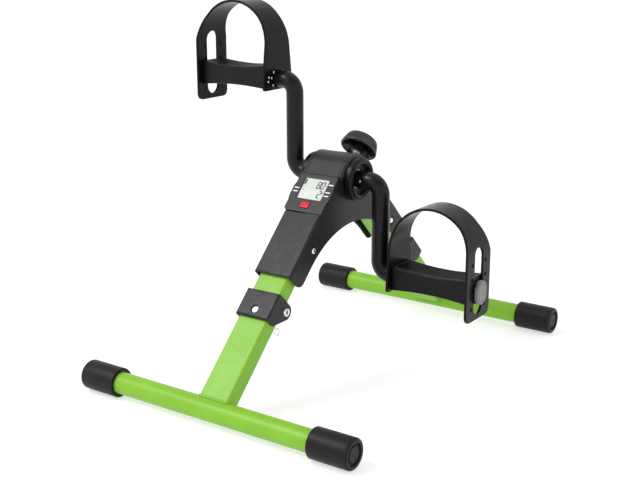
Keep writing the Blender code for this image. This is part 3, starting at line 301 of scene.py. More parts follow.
def powder_coat(name, colour, rubbed, roughness, peel, shine):
    """Baked powder paint: a soft orange peel, a little uneven in gloss, rubbed along its edges."""
    look = Finish(name, colour, roughness, Specular_IOR_Level=shine)
    look.tone(look.noise(30.0, 2.0), 0.95, 1.05)
    look.gloss(look.noise(120.0), 0.05)
    look.worn(rubbed, 0.0012, 0.7, 0.12)
    look.bump(look.noise(420.0, 1.0), peel)
    look.bump(look.noise(2400.0, 1.0), peel / 4)
    return look.material


def moulded(name, colour, roughness, grain=0.00004, tone=0.10, shine=0.30):
    """Injection-moulded plastic: fine grain and faint flow marks, a little scuffed along its edges."""
    look = Finish(name, colour, roughness, Specular_IOR_Level=shine)
    look.tone(look.noise(55.0, 4.0), 1.0 - tone, 1.0 + tone)
    look.gloss(look.noise(90.0), 0.05)
    look.worn([0.8 * c + 0.035 for c in colour], 0.0010, 0.7, 0.10)
    look.bump(look.noise(900.0, 1.0), grain / 3)
    return look.material


def rubber_finish():
    look = Finish("foot_rubber", (0.009, 0.009, 0.0095), 0.44, Specular_IOR_Level=0.17)
    look.tone(look.noise(70.0, 5.0), 0.80, 1.25)
    look.gloss(look.noise(300.0), 0.08)
    look.worn((0.060, 0.058, 0.055), 0.0016, 0.7, 0.10)
    look.bump(look.noise(1400.0, 4.0), 0.00008)
    return look.material


def plated(name, colour, roughness, stretch):
    """Plated or turned metal, with fine marks drawn out along one direction."""
    look = Finish(name, colour, roughness, 1.0)
    look.tone(look.noise(90.0), 0.90, 1.05)
    look.gloss(look.noise(300.0, 4.0, stretch), 0.06)
    look.bump(look.noise(1200.0, 2.0, stretch), 0.00001)
    return look.material


def display_finish():
    """The display's reflective back: pale grey green, with a fine pixel grain."""
    look = Finish("display_back", (0.740, 0.800, 0.725), 0.28)
    look.tone(look.noise(40.0, 1.0), 0.94, 1.06)
    look.gloss(look.noise(800.0), 0.05)
    look.bump(look.cells(4000.0), 0.00001)
    return look.material


def lens_finish():
    look = Finish("meter_lens_clear", (0.05, 0.055, 0.05), 0.05, Alpha=0.08)
    look.gloss(look.noise(200.0), 0.02)
    look.bump(look.noise(150.0, 1.0), 0.00001)
    return look.material


def printed(name, colour, roughness):
    look = Finish(name, colour, roughness)
    look.tone(look.noise(900.0), 0.92, 1.04)
    look.bump(look.noise(2500.0), 0.00001)
    return look.material


def board_finish():
    """Solder mask over a faint pattern of copper."""
    look = Finish("solder_mask", (0.03, 0.20, 0.07), 0.40)
    look.tone(look.cells(300.0), 0.70, 1.30)
    look.bump(look.cells(300.0), 0.00004)
    return look.material


RUBBED_GREEN = (0.36, 0.60, 0.16)
RUBBED_BLACK = (0.05, 0.05, 0.05)

looks = {
    "green": powder_coat("green_powder_coat", (0.190, 0.430, 0.018), RUBBED_GREEN, 0.38, 0.00004, 0.35),
    "black_steel": powder_coat("black_powder_coat", (0.011, 0.011, 0.012), RUBBED_BLACK, 0.38, 0.00005, 0.27),
    "crank_black": powder_coat("crank_black_coat", (0.006, 0.006, 0.007), RUBBED_BLACK, 0.28, 0.00003, 0.20),
    "cover_black": moulded("cover_black_plastic", (0.014, 0.014, 0.015), 0.40, shine=0.35),
    "meter_black": moulded("meter_black_plastic", (0.012, 0.0125, 0.013), 0.38, 0.00003, shine=0.35),
    "ring_black": moulded("hub_ring_black_plastic", (0.006, 0.006, 0.007), 0.32, 0.00002, shine=0.16),
    "knob_black": moulded("knob_black_plastic", (0.010, 0.010, 0.011), 0.26, 0.00002, shine=0.50),
    "pedal_black": moulded("pedal_black_plastic", (0.006, 0.006, 0.007), 0.36, 0.00003, shine=0.16),
    "strap_black": moulded("strap_black_vinyl", (0.004, 0.004, 0.0045), 0.25, 0.00002, shine=0.13),
    "cap_grey": moulded("pedal_cap_grey_plastic", (0.190, 0.190, 0.195), 0.40),
    "nylon": moulded("white_nylon_plastic", (0.74, 0.73, 0.69), 0.50),
    "red": moulded("button_red_plastic", (0.480, 0.008, 0.012), 0.34, 0.00002, 0.06),
    "rubber": rubber_finish(),
    "chrome": plated("bright_chrome", (0.82, 0.82, 0.83), 0.12, (1.0, 1.0, 1.0)),
    "zinc": plated("bright_zinc", (0.93, 0.93, 0.94), 0.46, (1.0, 1.0, 1.0)),
    "steel": plated("turned_steel", (0.56, 0.56, 0.57), 0.30, (12.0, 1.0, 1.0)),
    "display": display_finish(),
    "lens": lens_finish(),
    "ink": printed("display_segment_ink", (0.020, 0.024, 0.020), 0.40),
    "white_print": printed("white_label_print", (0.78, 0.78, 0.76), 0.45),
    "board": board_finish(),
}


# ---- shape tools ----
SHARP_SHADING = 40.0
SHARP_EDGE = math.radians(50)


def shaded(mesh, sharp):
    """Smooth shading, except across edges that turn by more than so many degrees."""
    mesh.shade_smooth()
    mesh.set_sharp_from_angle(angle=math.radians(sharp))


def sharp_edges(shape):
    return [edge for edge in shape.edges if edge.calc_face_angle(0.0) > SHARP_EDGE]


def bevelled(shape, rim, width, segments):
    bmesh.ops.bevel(shape, geom=rim, offset=width, segments=segments, profile=0.5, affect="EDGES")


def solid(name, shape, sharp=SHARP_SHADING):
    """A mesh object from a bmesh, facing out and smooth except at its sharp edges."""
    bmesh.ops.recalc_face_normals(shape, faces=shape.faces)
    mesh = bpy.data.meshes.new(name)
    shape.to_mesh(mesh)
    shape.free()
    shaded(mesh, sharp)
    made = bpy.data.objects.new(name, mesh)
    bpy.context.scene.collection.objects.link(made)
    return made


def piece(made, place, body, look, slot, *nodes):
    """Puts a piece in place with its finish, on its body, standing for its CAD nodes if it has any."""
    made.matrix_world = place
    made.data.materials.clear()
    made.data.materials.append(looks[look])
    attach(made, body)
    if nodes:
        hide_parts(*nodes)
    return made


def arc(centre, radius, start, end, steps):
    angles = [math.radians(start + (end - start) * step / steps) for step in range(steps + 1)]
    return [(centre[0] + radius * math.cos(a), centre[1] + radius * math.sin(a)) for a in angles]


def filleted(points, radius, steps=4, closed=True):
    """The same outline with its corners rounded, each by no more than its two sides allow."""
    run = []
    for index, point in enumerate(points):
        if not closed and index in (0, len(points) - 1):
            run.append(point)
            continue
        here = Vector(point)
        before = Vector(points[index - 1]) - here
        after = Vector(points[(index + 1) % len(points)]) - here
        reach = min(radius, 0.45 * before.length, 0.45 * after.length)
        start = here + before.normalized() * reach
        end = here + after.normalized() * reach
        for step in range(steps + 1):
            t = step / steps
            run.append(tuple(start * (1 - t) ** 2 + here * 2 * t * (1 - t) + end * t**2))
    return run


def joined_rings(shape, rings, closed=False):
    """Faces between rings of vertices; a ring of one vertex is a pole."""
    pairs = list(zip(rings, rings[1:]))
    if closed:
        pairs.append((rings[-1], rings[0]))
    for first, second in pairs:
        count = max(len(first), len(second))
        for index in range(count):
            after = (index + 1) % count
            corners = [first[index % len(first)], first[after % len(first)]]
            corners += [second[after % len(second)], second[index % len(second)]]
            shape.faces.new(list(dict.fromkeys(corners)))


def turned(name, profile, sides=64, closed=False, ripple=None):
    """A solid turned about x from (radius, x) points, with a ripple of its radius by angle, radius and x."""
    shape = bmesh.new()
    rings = []
    for radius, x in profile:
        if radius < 1e-6:
            rings.append([shape.verts.new((x, 0.0, 0.0))])
            continue
        ring = []
        for index in range(sides):
            angle = 2 * math.pi * index / sides
            here = radius + (ripple(angle, radius, x) if ripple else 0.0)
            ring.append(shape.verts.new((x, here * math.cos(angle), here * math.sin(angle))))
        rings.append(ring)
    joined_rings(shape, rings, closed)
    return solid(name, shape)


def lofted(name, sections, sharp=SHARP_SHADING):
    """A solid through closed sections of equal length, with a flat face at each end."""
    shape = bmesh.new()
    rings = [[shape.verts.new(point) for point in section] for section in sections]
    joined_rings(shape, rings)
    shape.faces.new(rings[0])
    shape.faces.new(rings[-1])
    return solid(name, shape, sharp)


def extruded(name, outlines, thickness, round_edge=0.0, segments=3):
    """Outlines in the (x, z) plane, the first solid and the rest holes, made as thick along y about 0."""
    curve = bpy.data.curves.new(name, "CURVE")
    curve.dimensions = "2D"
    curve.fill_mode = "BOTH"
    curve.extrude = thickness / 2
    for outline in outlines:
        spline = curve.splines.new("POLY")
        spline.points.add(len(outline) - 1)
        for point, (a, b) in zip(spline.points, outline):
            point.co = (a, b, 0.0, 1.0)
        spline.use_cyclic_u = True
    drawn = bpy.data.objects.new(name, curve)
    bpy.context.scene.collection.objects.link(drawn)
    mesh = bpy.data.meshes.new_from_object(drawn.evaluated_get(bpy.context.evaluated_depsgraph_get()))
    bpy.data.objects.remove(drawn)
    shape = bmesh.new()
    shape.from_mesh(mesh)
    bpy.data.meshes.remove(mesh)
    bmesh.ops.remove_doubles(shape, verts=shape.verts, dist=1e-6)
    bmesh.ops.transform(shape, matrix=Matrix.Rotation(math.pi / 2, 4, "X"), verts=shape.verts)
    bmesh.ops.dissolve_limit(shape, angle_limit=0.01, verts=shape.verts, edges=shape.edges)
    if round_edge:
        bevelled(shape, sharp_edges(shape), round_edge, segments)
    return solid(name, shape)


def round_bar(points, radius, sides):
    """Rings along a path in the (x, z) plane, each square to the path, with rounded ends."""
    path = [Vector((x, 0.0, z)) for x, z in points]
    first = (path[0] - path[1]).normalized()
    last = (path[-1] - path[-2]).normalized()
    edge = 0.0008
    stations = [(path[0], first, radius - edge), (path[0] - first * edge, first, radius)]
    for before, here, after in zip(path, path[1:], path[2:]):
        stations.append((here, (before - after).normalized(), radius))
    stations += [(path[-1] - last * edge, -last, radius), (path[-1], -last, radius - edge)]
    across = Vector((0.0, 1.0, 0.0))
    sections = []
    for centre, back, size in stations:
        other = across.cross(back)
        angles = [2 * math.pi * index / sides for index in range(sides)]
        sections.append([centre + (across * math.cos(a) + other * math.sin(a)) * size for a in angles])
    return sections


def rounded_rectangle(width, height, radius, steps=6):
    x = width / 2 - radius
    y = height / 2 - radius
    corners = (((x, y), 0), ((-x, y), 90), ((-x, -y), 180), ((x, -y), 270))
    return [point for centre, start in corners for point in arc(centre, radius, start, start + 90, steps)]


def mirrored(points):
    return [(-a, b) for a, b in reversed(points)]


def flipped(profile):
    return [(radius, -x) for radius, x in profile]


def two_headed(name, half):
    """A turned pin with two ends alike, from the (radius, x) points of one half, the last at its middle."""
    return turned(name, half + flipped(half[-2::-1]))


def carved(made, *cutters):
    """Cuts the cutters, drawn in the same frame, out of a piece and shades what is left."""
    for cutter in cutters:
        step = made.modifiers.new("Cut", "BOOLEAN")
        step.object = cutter
    mesh = bpy.data.meshes.new_from_object(made.evaluated_get(bpy.context.evaluated_depsgraph_get()))
    made.modifiers.clear()
    made.data = mesh
    for cutter in cutters:
        bpy.data.objects.remove(cutter)
    return softened(made, 0.0)


def softened(made, width, segments=3, chosen=None):
    """Rounds a piece's sharp edges, or only those whose two ends pass a test, and shades it again."""
    shape = bmesh.new()
    shape.from_mesh(made.data)
    bmesh.ops.remove_doubles(shape, verts=shape.verts, dist=2e-6)
    bmesh.ops.dissolve_degenerate(shape, edges=shape.edges, dist=2e-6)
    if width:
        rim = sharp_edges(shape)
        if chosen:
            rim = [edge for edge in rim if all(chosen(end.co) for end in edge.verts)]
        bevelled(shape, rim, width, segments)
    bmesh.ops.recalc_face_normals(shape, faces=shape.faces)
    shape.to_mesh(made.data)
    shape.free()
    shaded(made.data, SHARP_SHADING)
    return made


def moved(made, place):
    made.data.transform(place)
    return made


def merged(name, *pieces):
    """One object from several that don't touch."""
    shape = bmesh.new()
    for part in pieces:
        shape.from_mesh(part.data)
        bpy.data.objects.remove(part)
    return solid(name, shape)


def even_shading(made):
    """Keeps large flat faces flat beside small rounded edges."""
    step = made.modifiers.new("Even shading", "WEIGHTED_NORMAL")
    step.keep_sharp = True
    return made


def spread(start, end, steps):
    return [start + (end - start) * step / steps for step in range(steps + 1)]


def drilled(radius, length, x=0.0, y=0.0, z=0.0, turn=Matrix.Identity(4), sides=48):
    """A cutter: a plain round pin about x, turned and then moved."""
    half = length / 2
    pin = turned("cutter", [(0.0, half), (radius, half), (radius, -half), (0.0, -half)], sides)
    return moved(pin, at(x, y, z) @ turn)


def rivet_head(radius, height):
    """The (radius, height) profile of a low domed rivet head with a rounded foot."""
    return [
        (0.0, height),
        (0.45 * radius, 0.96 * height),
        (0.75 * radius, 0.80 * height),
        (0.92 * radius, 0.50 * height),
        (radius, 0.15 * height),
        (radius, 0.0),
    ]


# ---- saddle and its covers ----
SADDLE_DEPTH = 0.029
SADDLE_END = -0.009
SADDLE_CORNER = 0.010
SADDLE_WALL = 0.002
SADDLE_SEAT = 0.0025
SADDLE_EDGE_ROUND = 0.003
ARCH_CENTRE_HEIGHT = 0.053
METER_BOTTOM = -0.0922
METER_TOP = -0.146
COVER_REAR = 0.002 - HUB_OUT
COVER_LIP_RADIUS = 0.0225
COVER_ROUND = 0.0032
AXLE_HOLE_RADIUS = 0.0113
RIVET_RECESS_RADIUS = 0.0056
RIVET_RECESS_DEPTH = 0.0012
FRAME_RIVET_HEAD = (0.0036, 0.0020)
FRAME_RIVET_RADIUS = 0.0025


def slope_point(side, along, out):
    place = slope(side, along, out).translation
    return (place.y, place.z)


def saddle_path(offset, front_end, rear_end, steps=40):
    """The (y, z) run at one distance from the hub's axis: up the front, over the hub, down the rear."""
    over = arc((0.0, HUB.z), offset, 135, 45, steps)
    return [slope_point(-1, front_end, HUB_OUT + offset), *over, slope_point(1, rear_end, HUB_OUT + offset)]


def saddle_outline():
    inner_out = FACE_OUT - SADDLE_DEPTH
    arch_radius = inner_out - ARCH_CENTRE_HEIGHT * math.cos(SLOPE)
    corner_centre = slope_point(-1, SADDLE_END - SADDLE_CORNER, inner_out + SADDLE_CORNER)
    front_corner = arc(corner_centre, SADDLE_CORNER, -45, -135, 12)
    arch = arc((0.0, ARCH_CENTRE_HEIGHT), arch_radius, 45, 135, 64)
    return saddle_path(COVER_RADIUS, SADDLE_END, SADDLE_END) + mirrored(front_corner) + arch + front_corner


def on_outer_face(point):
    """Whether a point of the saddle's side view, drawn in x and z, is on its outer run."""
    sloped = max(point.z - point.x, point.z + point.x) * math.cos(SLOPE)
    hub = math.hypot(point.x, point.z - HUB.z)
    return sloped > FACE_OUT - GAP or (abs(hub - COVER_RADIUS) < GAP and point.z > HUB.z)


def saddle():
    """The pressed-steel saddle: a rounded channel over both legs, open underneath, with a lowered seat."""
    width = 2 * SADDLE_HALF_WIDTH
    body = extruded("saddle_shell", [saddle_outline()], width)
    softened(body, SADDLE_EDGE_ROUND, 5, on_outer_face)
    softened(body, 0.0006, 2, lambda point: not on_outer_face(point))
    hollow = saddle_path(COVER_RADIUS - SADDLE_WALL, -SADDLE_END, -SADDLE_END) + [(0.0, 0.0)]
    seat = saddle_path(COVER_RADIUS + SADDLE_WALL, METER_BOTTOM, COVER_REAR)
    seat += saddle_path(COVER_RADIUS - SADDLE_SEAT, METER_BOTTOM, COVER_REAR)[::-1]
    through = width + 0.01
    cutters = [extruded("cutter", [hollow], width - 2 * SADDLE_WALL), extruded("cutter", [seat], through)]
    cutters.append(drilled(AXLE_HOLE_RADIUS, through, z=HUB.z, turn=ALONG_Y))
    for side in (-1, 1):
        y, z = slope_point(side, FRAME_RIVET_ALONG, FACE_OUT - FRAME_RIVET_INSET)
        for face in (-1, 1):
            place = (y, face * SADDLE_HALF_WIDTH, z)
            cutters.append(drilled(RIVET_RECESS_RADIUS, 2 * RIVET_RECESS_DEPTH, *place, ALONG_Y))
    body = carved(body, *cutters)
    piece(even_shading(body), ALONG_Y, "frame", "black_steel", "black_steel", "saddle_frame")


def cover_station(side, along):
    """Where a run's foot is on the hub's slope line, and the direction out from it."""
    foot = slope_point(side, along, HUB_OUT)
    return Vector((0.0, *foot)), Vector((0.0, side * math.sin(SLOPE), math.cos(SLOPE)))


def top_cover():
    """The moulded cap over the hub: a channel with side lips and a fine groove inside each edge."""
    wide, lip, top = COVER_HALF_WIDTH, COVER_LIP_RADIUS, COVER_RADIUS
    inner = wide - SADDLE_WALL
    under = top - SADDLE_SEAT + GAP
    groove = wide - 0.0052
    crown = filleted([(inner, lip), (wide, lip), (wide, top)], 0.0007, 2, closed=False)[:-1]
    crown += arc((wide - COVER_ROUND, top - COVER_ROUND), COVER_ROUND, 0, 90, 9)
    crown += [(groove + 0.0004, top), (groove + 0.0002, top - 0.0005), (groove - 0.0002, top - 0.0005)]
    crown += [(groove - 0.0004, top)]
    section = crown + mirrored(crown) + [(-inner, under), (inner, under)]
    stations = [cover_station(-1, METER_TOP - 0.0006)]
    for angle in spread(135, 45, 48):
        turn = math.radians(angle)
        stations.append((Vector((0.0, 0.0, HUB.z)), Vector((0.0, math.cos(turn), math.sin(turn)))))
    stations.append(cover_station(1, COVER_REAR - 2 * GAP))
    sections = [[foot + away * r + Vector((x, 0.0, 0.0)) for x, r in section] for foot, away in stations]
    cover = lofted("hub_top_cover", sections)
    piece(even_shading(cover), Matrix.Identity(4), "frame", "cover_black", "black_plastic", "top_cover")


def frame_rivets():
    for side in (-1, 1):
        seat = SADDLE_HALF_WIDTH - 0.0008
        head = [(radius, seat + height) for radius, height in rivet_head(*FRAME_RIVET_HEAD)]
        shank = [(FRAME_RIVET_RADIUS, head[-1][1]), (FRAME_RIVET_RADIUS, 0.0)]
        rivet = two_headed(f"{ROW[side]}_saddle_rivet", head + shank)
        place = slope(side, FRAME_RIVET_ALONG, FACE_OUT - FRAME_RIVET_INSET)
        piece(rivet, place, "frame", "chrome", "chrome", f"{ROW[side]}_frame_rivet")


# ---- legs ----
LEG_OUT = FACE_OUT - LEG_INSET - LEG_DEPTH / 2
LEG_TOP = 0.026
LEG_WALL = 0.0015
LOCK_BOSS_RADIUS = 0.006
LOCK_BOSS_LENGTH = 0.007
LOCK_COLLAR_RADIUS = 0.0070
LOCK_COLLAR_PROUD = 0.0009
STUB_TOP = -0.061
STUB_BOTTOM = 0.024
KNUCKLE_RADIUS = 0.006
KNUCKLE_WIDTH = 0.039
BRACKET_PLATE = 0.003
BRACKET_HOLE_RADIUS = 0.0050
BRACKET_BEND = 0.0028
PIVOT_OUT = FACE_OUT - PIVOT_INSET


def tube_section(inset=0.0):
    return rounded_rectangle(2 * LEG_HALF_WIDTH - 2 * inset, LEG_DEPTH - 2 * inset, LEG_CORNER - 0.8 * inset)


def open_tube(name, end):
    """A rectangular tube about z, with both ends open. The end gives its z for a place in its section."""
    shape = bmesh.new()
    rings = []
    steps = ((0.0, 0.0003, False), (0.0003, 0.0, False), (LEG_WALL, 0.0, False), (LEG_WALL, 0.0, True))
    for inset, drop, low in (*steps, (0.0, 0.0, True)):
        rings.append([shape.verts.new((x, y, end(y, low) - drop)) for x, y in tube_section(inset)])
    joined_rings(shape, rings, closed=True)
    return solid(name, shape)


def stub(side):
    tube = open_tube(f"{ROW[side]}_leg_stub", lambda y, low: -STUB_BOTTOM if low else -STUB_TOP)
    place = slope(side, 0.0, LEG_OUT)
    piece(even_shading(tube), place, "frame", "green", "green_paint", f"{ROW[side]}_stub")


def bracket_outline():
    """The side view of a fold bracket about its pivot, in y and z."""
    face = -PIVOT_INSET
    top, bottom, corner = 0.0095, PIVOT_ALONG - 0.046, 0.004
    centre = (0.5 * face + 0.0005, bottom + corner)
    apart = math.hypot(*centre)
    angle = math.degrees(math.atan2(centre[1], centre[0]) + math.acos((top - corner) / apart))
    lobe = arc((0.0, 0.0), top, 90, angle, 32)
    return [(face, top), *lobe, *arc(centre, corner, angle, -90, 10), (face, bottom)]


def bracket(side):
    """The folded-plate bracket that the leg turns in, with its lock hole and rounded bends."""
    width = 2 * BRACKET_HALF_WIDTH
    inside = width - 0.0048
    body = extruded(f"{ROW[side]}_fold_bracket", [bracket_outline()], width)
    softened(body, BRACKET_BEND, 5, lambda point: point.x < -PIVOT_INSET + GAP)
    softened(body, 0.0005, 2, lambda point: point.x > -PIVOT_INSET + BRACKET_PLATE)
    moved(body, ALONG_Y)
    across, tall, overlap = inside / 2, 0.02, 0.001
    step = PIVOT_ALONG - STUB_BOTTOM - GAP
    outline = [(-across, -tall), (across, -tall), (across, tall), (-across, tall)]
    rooms = []
    for start, z in ((LEG_INSET - GAP, step + tall - overlap), (BRACKET_PLATE, step - tall)):
        room = extruded("cutter", [outline], 2 * tall)
        rooms.append(moved(room, at(0.0, start - PIVOT_INSET + tall, z)))
    hole = drilled(BRACKET_HOLE_RADIUS, 0.02, y=-PIVOT_INSET, z=PIVOT_ALONG - LOCK_ALONG, turn=ALONG_Y)
    body = carved(body, *rooms, hole)
    place = slope(side, PIVOT_ALONG, PIVOT_OUT)
    piece(even_shading(body), place, "frame", "black_steel", "black_steel", f"{ROW[side]}_bracket")


def pivot_rivet(side):
    """A tubular rivet: its head is rolled over round a shallow hollow."""
    seat = BRACKET_HALF_WIDTH
    roll = [(0.0, seat - 0.0016), (0.0019, seat - 0.0014), (0.0020, seat + 0.0002)]
    roll += [(radius, seat + x) for radius, x in arc((0.0034, 0.0004), 0.0014, 170, 0, 10)]
    roll += [(0.0050, seat), (0.003, seat), (0.003, 0.0)]
    rivet = two_headed(f"{ROW[side]}_fold_rivet", roll)
    place = slope(side, PIVOT_ALONG, PIVOT_OUT)
    piece(rivet, place, "frame", "chrome", "chrome", f"{ROW[side]}_pivot_rivet")


def foot_meets(y, sink=0.0004):
    """How far down the slope the leg reaches the foot tube, at one depth in the leg's section."""
    apart = LEG_OUT - y - FOOT_OUT
    return FOOT_ALONG - math.sqrt((FOOT_TUBE_RADIUS - sink) ** 2 - apart**2)


def leg(side):
    body = f"{ROW[side]}_leg"
    tube = open_tube(f"{ROW[side]}_leg_tube", lambda y, low: -foot_meets(y) if low else -LEG_TOP)
    lock = -LOCK_ALONG
    front_hole = drilled(LOCK_NOSE_RADIUS + GAP, 0.006, y=-LEG_DEPTH / 2, z=lock, turn=ALONG_Y)
    back_hole = drilled(LOCK_STEM_RADIUS + GAP, 0.006, y=LEG_DEPTH / 2, z=lock, turn=ALONG_Y)
    tube = carved(tube, front_hole, back_hole)
    piece(even_shading(tube), slope(side, 0.0, LEG_OUT), body, "green", "green_paint", f"{ROW[side]}_leg")
    bore, proud = LOCK_NOSE_RADIUS + GAP, LOCK_COLLAR_PROUD
    collar = [(bore, proud), (LOCK_COLLAR_RADIUS - 0.0004, proud), (LOCK_COLLAR_RADIUS, proud - 0.0005)]
    collar += [(LOCK_COLLAR_RADIUS, -0.001), (bore, -0.001)]
    guide = turned(f"{ROW[side]}_lock_collar", collar, closed=True)
    place = slope(side, LOCK_ALONG, FACE_OUT - LEG_INSET) @ Matrix.Rotation(math.pi, 4, "Z") @ ALONG_Y
    piece(guide, place, body, "zinc", "chrome")
    bore, outer, length = LOCK_STEM_RADIUS + GAP, LOCK_BOSS_RADIUS, LOCK_BOSS_LENGTH
    boss = [(bore, 0.0), (outer, 0.0), (outer, length - 0.0006), (outer - 0.0006, length), (bore, length)]
    sleeve = turned(f"{ROW[side]}_lock_sleeve", boss, closed=True)
    place = slope(side, LOCK_ALONG, FACE_OUT - LEG_INSET - LEG_DEPTH + 0.0002) @ ALONG_Y
    piece(sleeve, place, body, "green", "green_paint")
    weld = LEG_OUT - LEG_DEPTH / 2 - PIVOT_OUT
    outline = arc((0.0, 0.0), KNUCKLE_RADIUS, 0, 246, 40)
    outline += [(-weld + 0.0008, -0.0075), (0.0045, -0.0075), (KNUCKLE_RADIUS, -0.006)]
    knuckle = extruded(f"{ROW[side]}_leg_knuckle", [outline], KNUCKLE_WIDTH, 0.0004, 2)
    piece(even_shading(knuckle), slope(side, PIVOT_ALONG, PIVOT_OUT) @ ALONG_Y, body, "green", "green_paint")


def weld_bead(side):
    """The painted bead where the leg meets its foot tube, with the small ripples of a weld run."""
    shape = bmesh.new()
    section = rounded_rectangle(2 * LEG_HALF_WIDTH, LEG_DEPTH, LEG_CORNER, 10)
    fine = []
    for index, start in enumerate(section):
        end = section[(index + 1) % len(section)]
        parts = max(1, round(math.dist(start, end) / 0.0005))
        fine += [tuple(Vector(start).lerp(Vector(end), part / parts)) for part in range(parts)]
    rings = []
    run = 0.0
    for index, (x, y) in enumerate(fine):
        before, after = Vector(fine[index - 1]), Vector(fine[(index + 1) % len(fine)])
        ahead = (after - before).normalized()
        away = Vector((ahead.y, -ahead.x, 0.0))
        run += (Vector((x, y)) - before).length
        size = 0.0015 + 0.00015 * math.sin(2 * math.pi * run / 0.0016)
        centre = Vector((x, y, 0.0006 - foot_meets(y, 0.0)))
        ring = [centre + (away * a + Vector((0.0, 0.0, b))) for a, b in arc((0.0, 0.0), size, 0, 330, 11)]
        rings.append([shape.verts.new(point) for point in ring])
    joined_rings(shape, rings, closed=True)
    bead = solid(f"{ROW[side]}_foot_weld", shape, 180.0)
    piece(bead, slope(side, 0.0, LEG_OUT), f"{ROW[side]}_leg", "green", "green_paint")


def foot(side):
    """The foot tube, with a rubber cap over each end."""
    body = f"{ROW[side]}_leg"
    wall = FOOT_TUBE_RADIUS - 0.0015
    half = FOOT_TUBE_HALF
    profile = [(FOOT_TUBE_RADIUS, half), (FOOT_TUBE_RADIUS, -half), (wall, -half), (wall, half)]
    tube = turned(f"{ROW[side]}_foot_bar", profile, 96, closed=True)
    place = at(0.0, side * FOOT_SPREAD, FOOT_CAP_RADIUS)
    piece(tube, place, body, "green", "green_paint", f"{ROW[side]}_foot_tube")
    for end in (-1, 1):
        foot_cap(side, end, place @ facing(end))


def foot_cap(side, end, place):
    """A rubber cup with a rounded rim, a groove round its end disc and a soft mouth."""
    tip, outer = FOOT_CAP_TIP, FOOT_CAP_RADIUS
    mouth = tip - FOOT_CAP_LENGTH
    bore = FOOT_TUBE_RADIUS + GAP
    face = [(0.0, tip - 0.0008), (0.0086, tip - 0.0008)]
    face += arc((0.0086, tip - 0.0014), 0.0006, 90, 0, 4)
    face += [(0.0094, tip - 0.0026), (0.0116, tip - 0.0026), (0.0119, tip - 0.0006), (0.0124, tip)]
    edge = arc((outer - 0.0030, tip - 0.0030), 0.0030, 90, 0, 10)
    lip = arc((outer - 0.0010, mouth + 0.0010), 0.0010, 0, -90, 5)
    inside = [(bore, mouth), (bore, tip - 0.0045), (0.0, tip - 0.0045)]
    cap = turned(f"{ROW[side]}_{HAND[end]}_rubber_foot", face + edge + lip + inside, 96)
    piece(cap, place, f"{ROW[side]}_leg", "rubber", "rubber", f"{ROW[side]}_{HAND[end]}_foot_cap")


def lock_pin(side):
    """The spring pin: a domed nose in the bracket's hole, a stem through the leg and a small pull ring."""
    body = f"{ROW[side]}_lock_pin"
    face = FACE_OUT - LEG_INSET
    nose_tip = 0.0006 - LEG_INSET
    shoulder = 0.0130 - LEG_INSET
    stem_end = shoulder + 0.041
    dome = 0.0009
    sphere = (LOCK_NOSE_RADIUS**2 + dome**2) / (2 * dome)
    reach = math.degrees(math.asin(LOCK_NOSE_RADIUS / sphere))
    crown = flipped(arc((0.0, -nose_tip - sphere), sphere, 90, 90 - reach, 10))
    crown[0] = (0.0, nose_tip)
    shaft = [(LOCK_NOSE_RADIUS, shoulder), (LOCK_STEM_RADIUS, shoulder)]
    shaft += [(LOCK_STEM_RADIUS, stem_end - 0.0006), (LOCK_STEM_RADIUS - 0.0006, stem_end), (0.0, stem_end)]
    pin = turned(f"{ROW[side]}_spring_pin", crown + shaft, 48)
    place = slope(side, LOCK_ALONG, face)
    piece(pin, place @ ALONG_Y, body, "zinc", "chrome", f"{ROW[side]}_lock_pin")
    wire = arc((PULL_RING_RADIUS, 0.0), PULL_RING_WIRE, 0, 345, 23)
    ring = turned(f"{ROW[side]}_pull_ring", wire, closed=True)
    hung = place @ at(0.0, stem_end + PULL_RING_RADIUS - PULL_RING_WIRE / 2, 0.0)
    piece(ring, hung, body, "zinc", "chrome")


# ---- hub and cranks ----
def hub_cap(end):
    """The thick round ring about the crank's root, dished inside and stepped down to its floor."""
    back, front = HUB_CAP_NEAR + 0.0023, HUB_CAP_FAR
    outer, rim, floor = HUB_CAP_RADIUS, 0.0080, HUB_CAP_NEAR + 0.0048
    hole = CRANK_BAR_RADIUS + 0.0015
    middle = outer - rim / 2
    crown = front - rim / 2
    wall = middle - rim / 2
    profile = [(hole, back), (hole, floor - 0.0006), (hole + 0.0006, floor), (wall - 0.0008, floor)]
    profile += [(wall, floor + 0.0008), *arc((middle, crown), rim / 2, 180, 0, 20)]
    seat = SADDLE_HALF_WIDTH + GAP
    profile += [(outer, back + 0.0006), (outer - 0.0006, back), (COVER_LIP_RADIUS - GAP, back)]
    profile += [(COVER_LIP_RADIUS - GAP, seat), (0.0145, seat), (0.0145, back)]
    ring = turned(f"{HAND[end]}_hub_ring", profile, 96, closed=True)
    place = at(*HUB) @ facing(end)
    piece(ring, place, "frame", "ring_black", "black_plastic", f"{HAND[end]}_hub_cap")


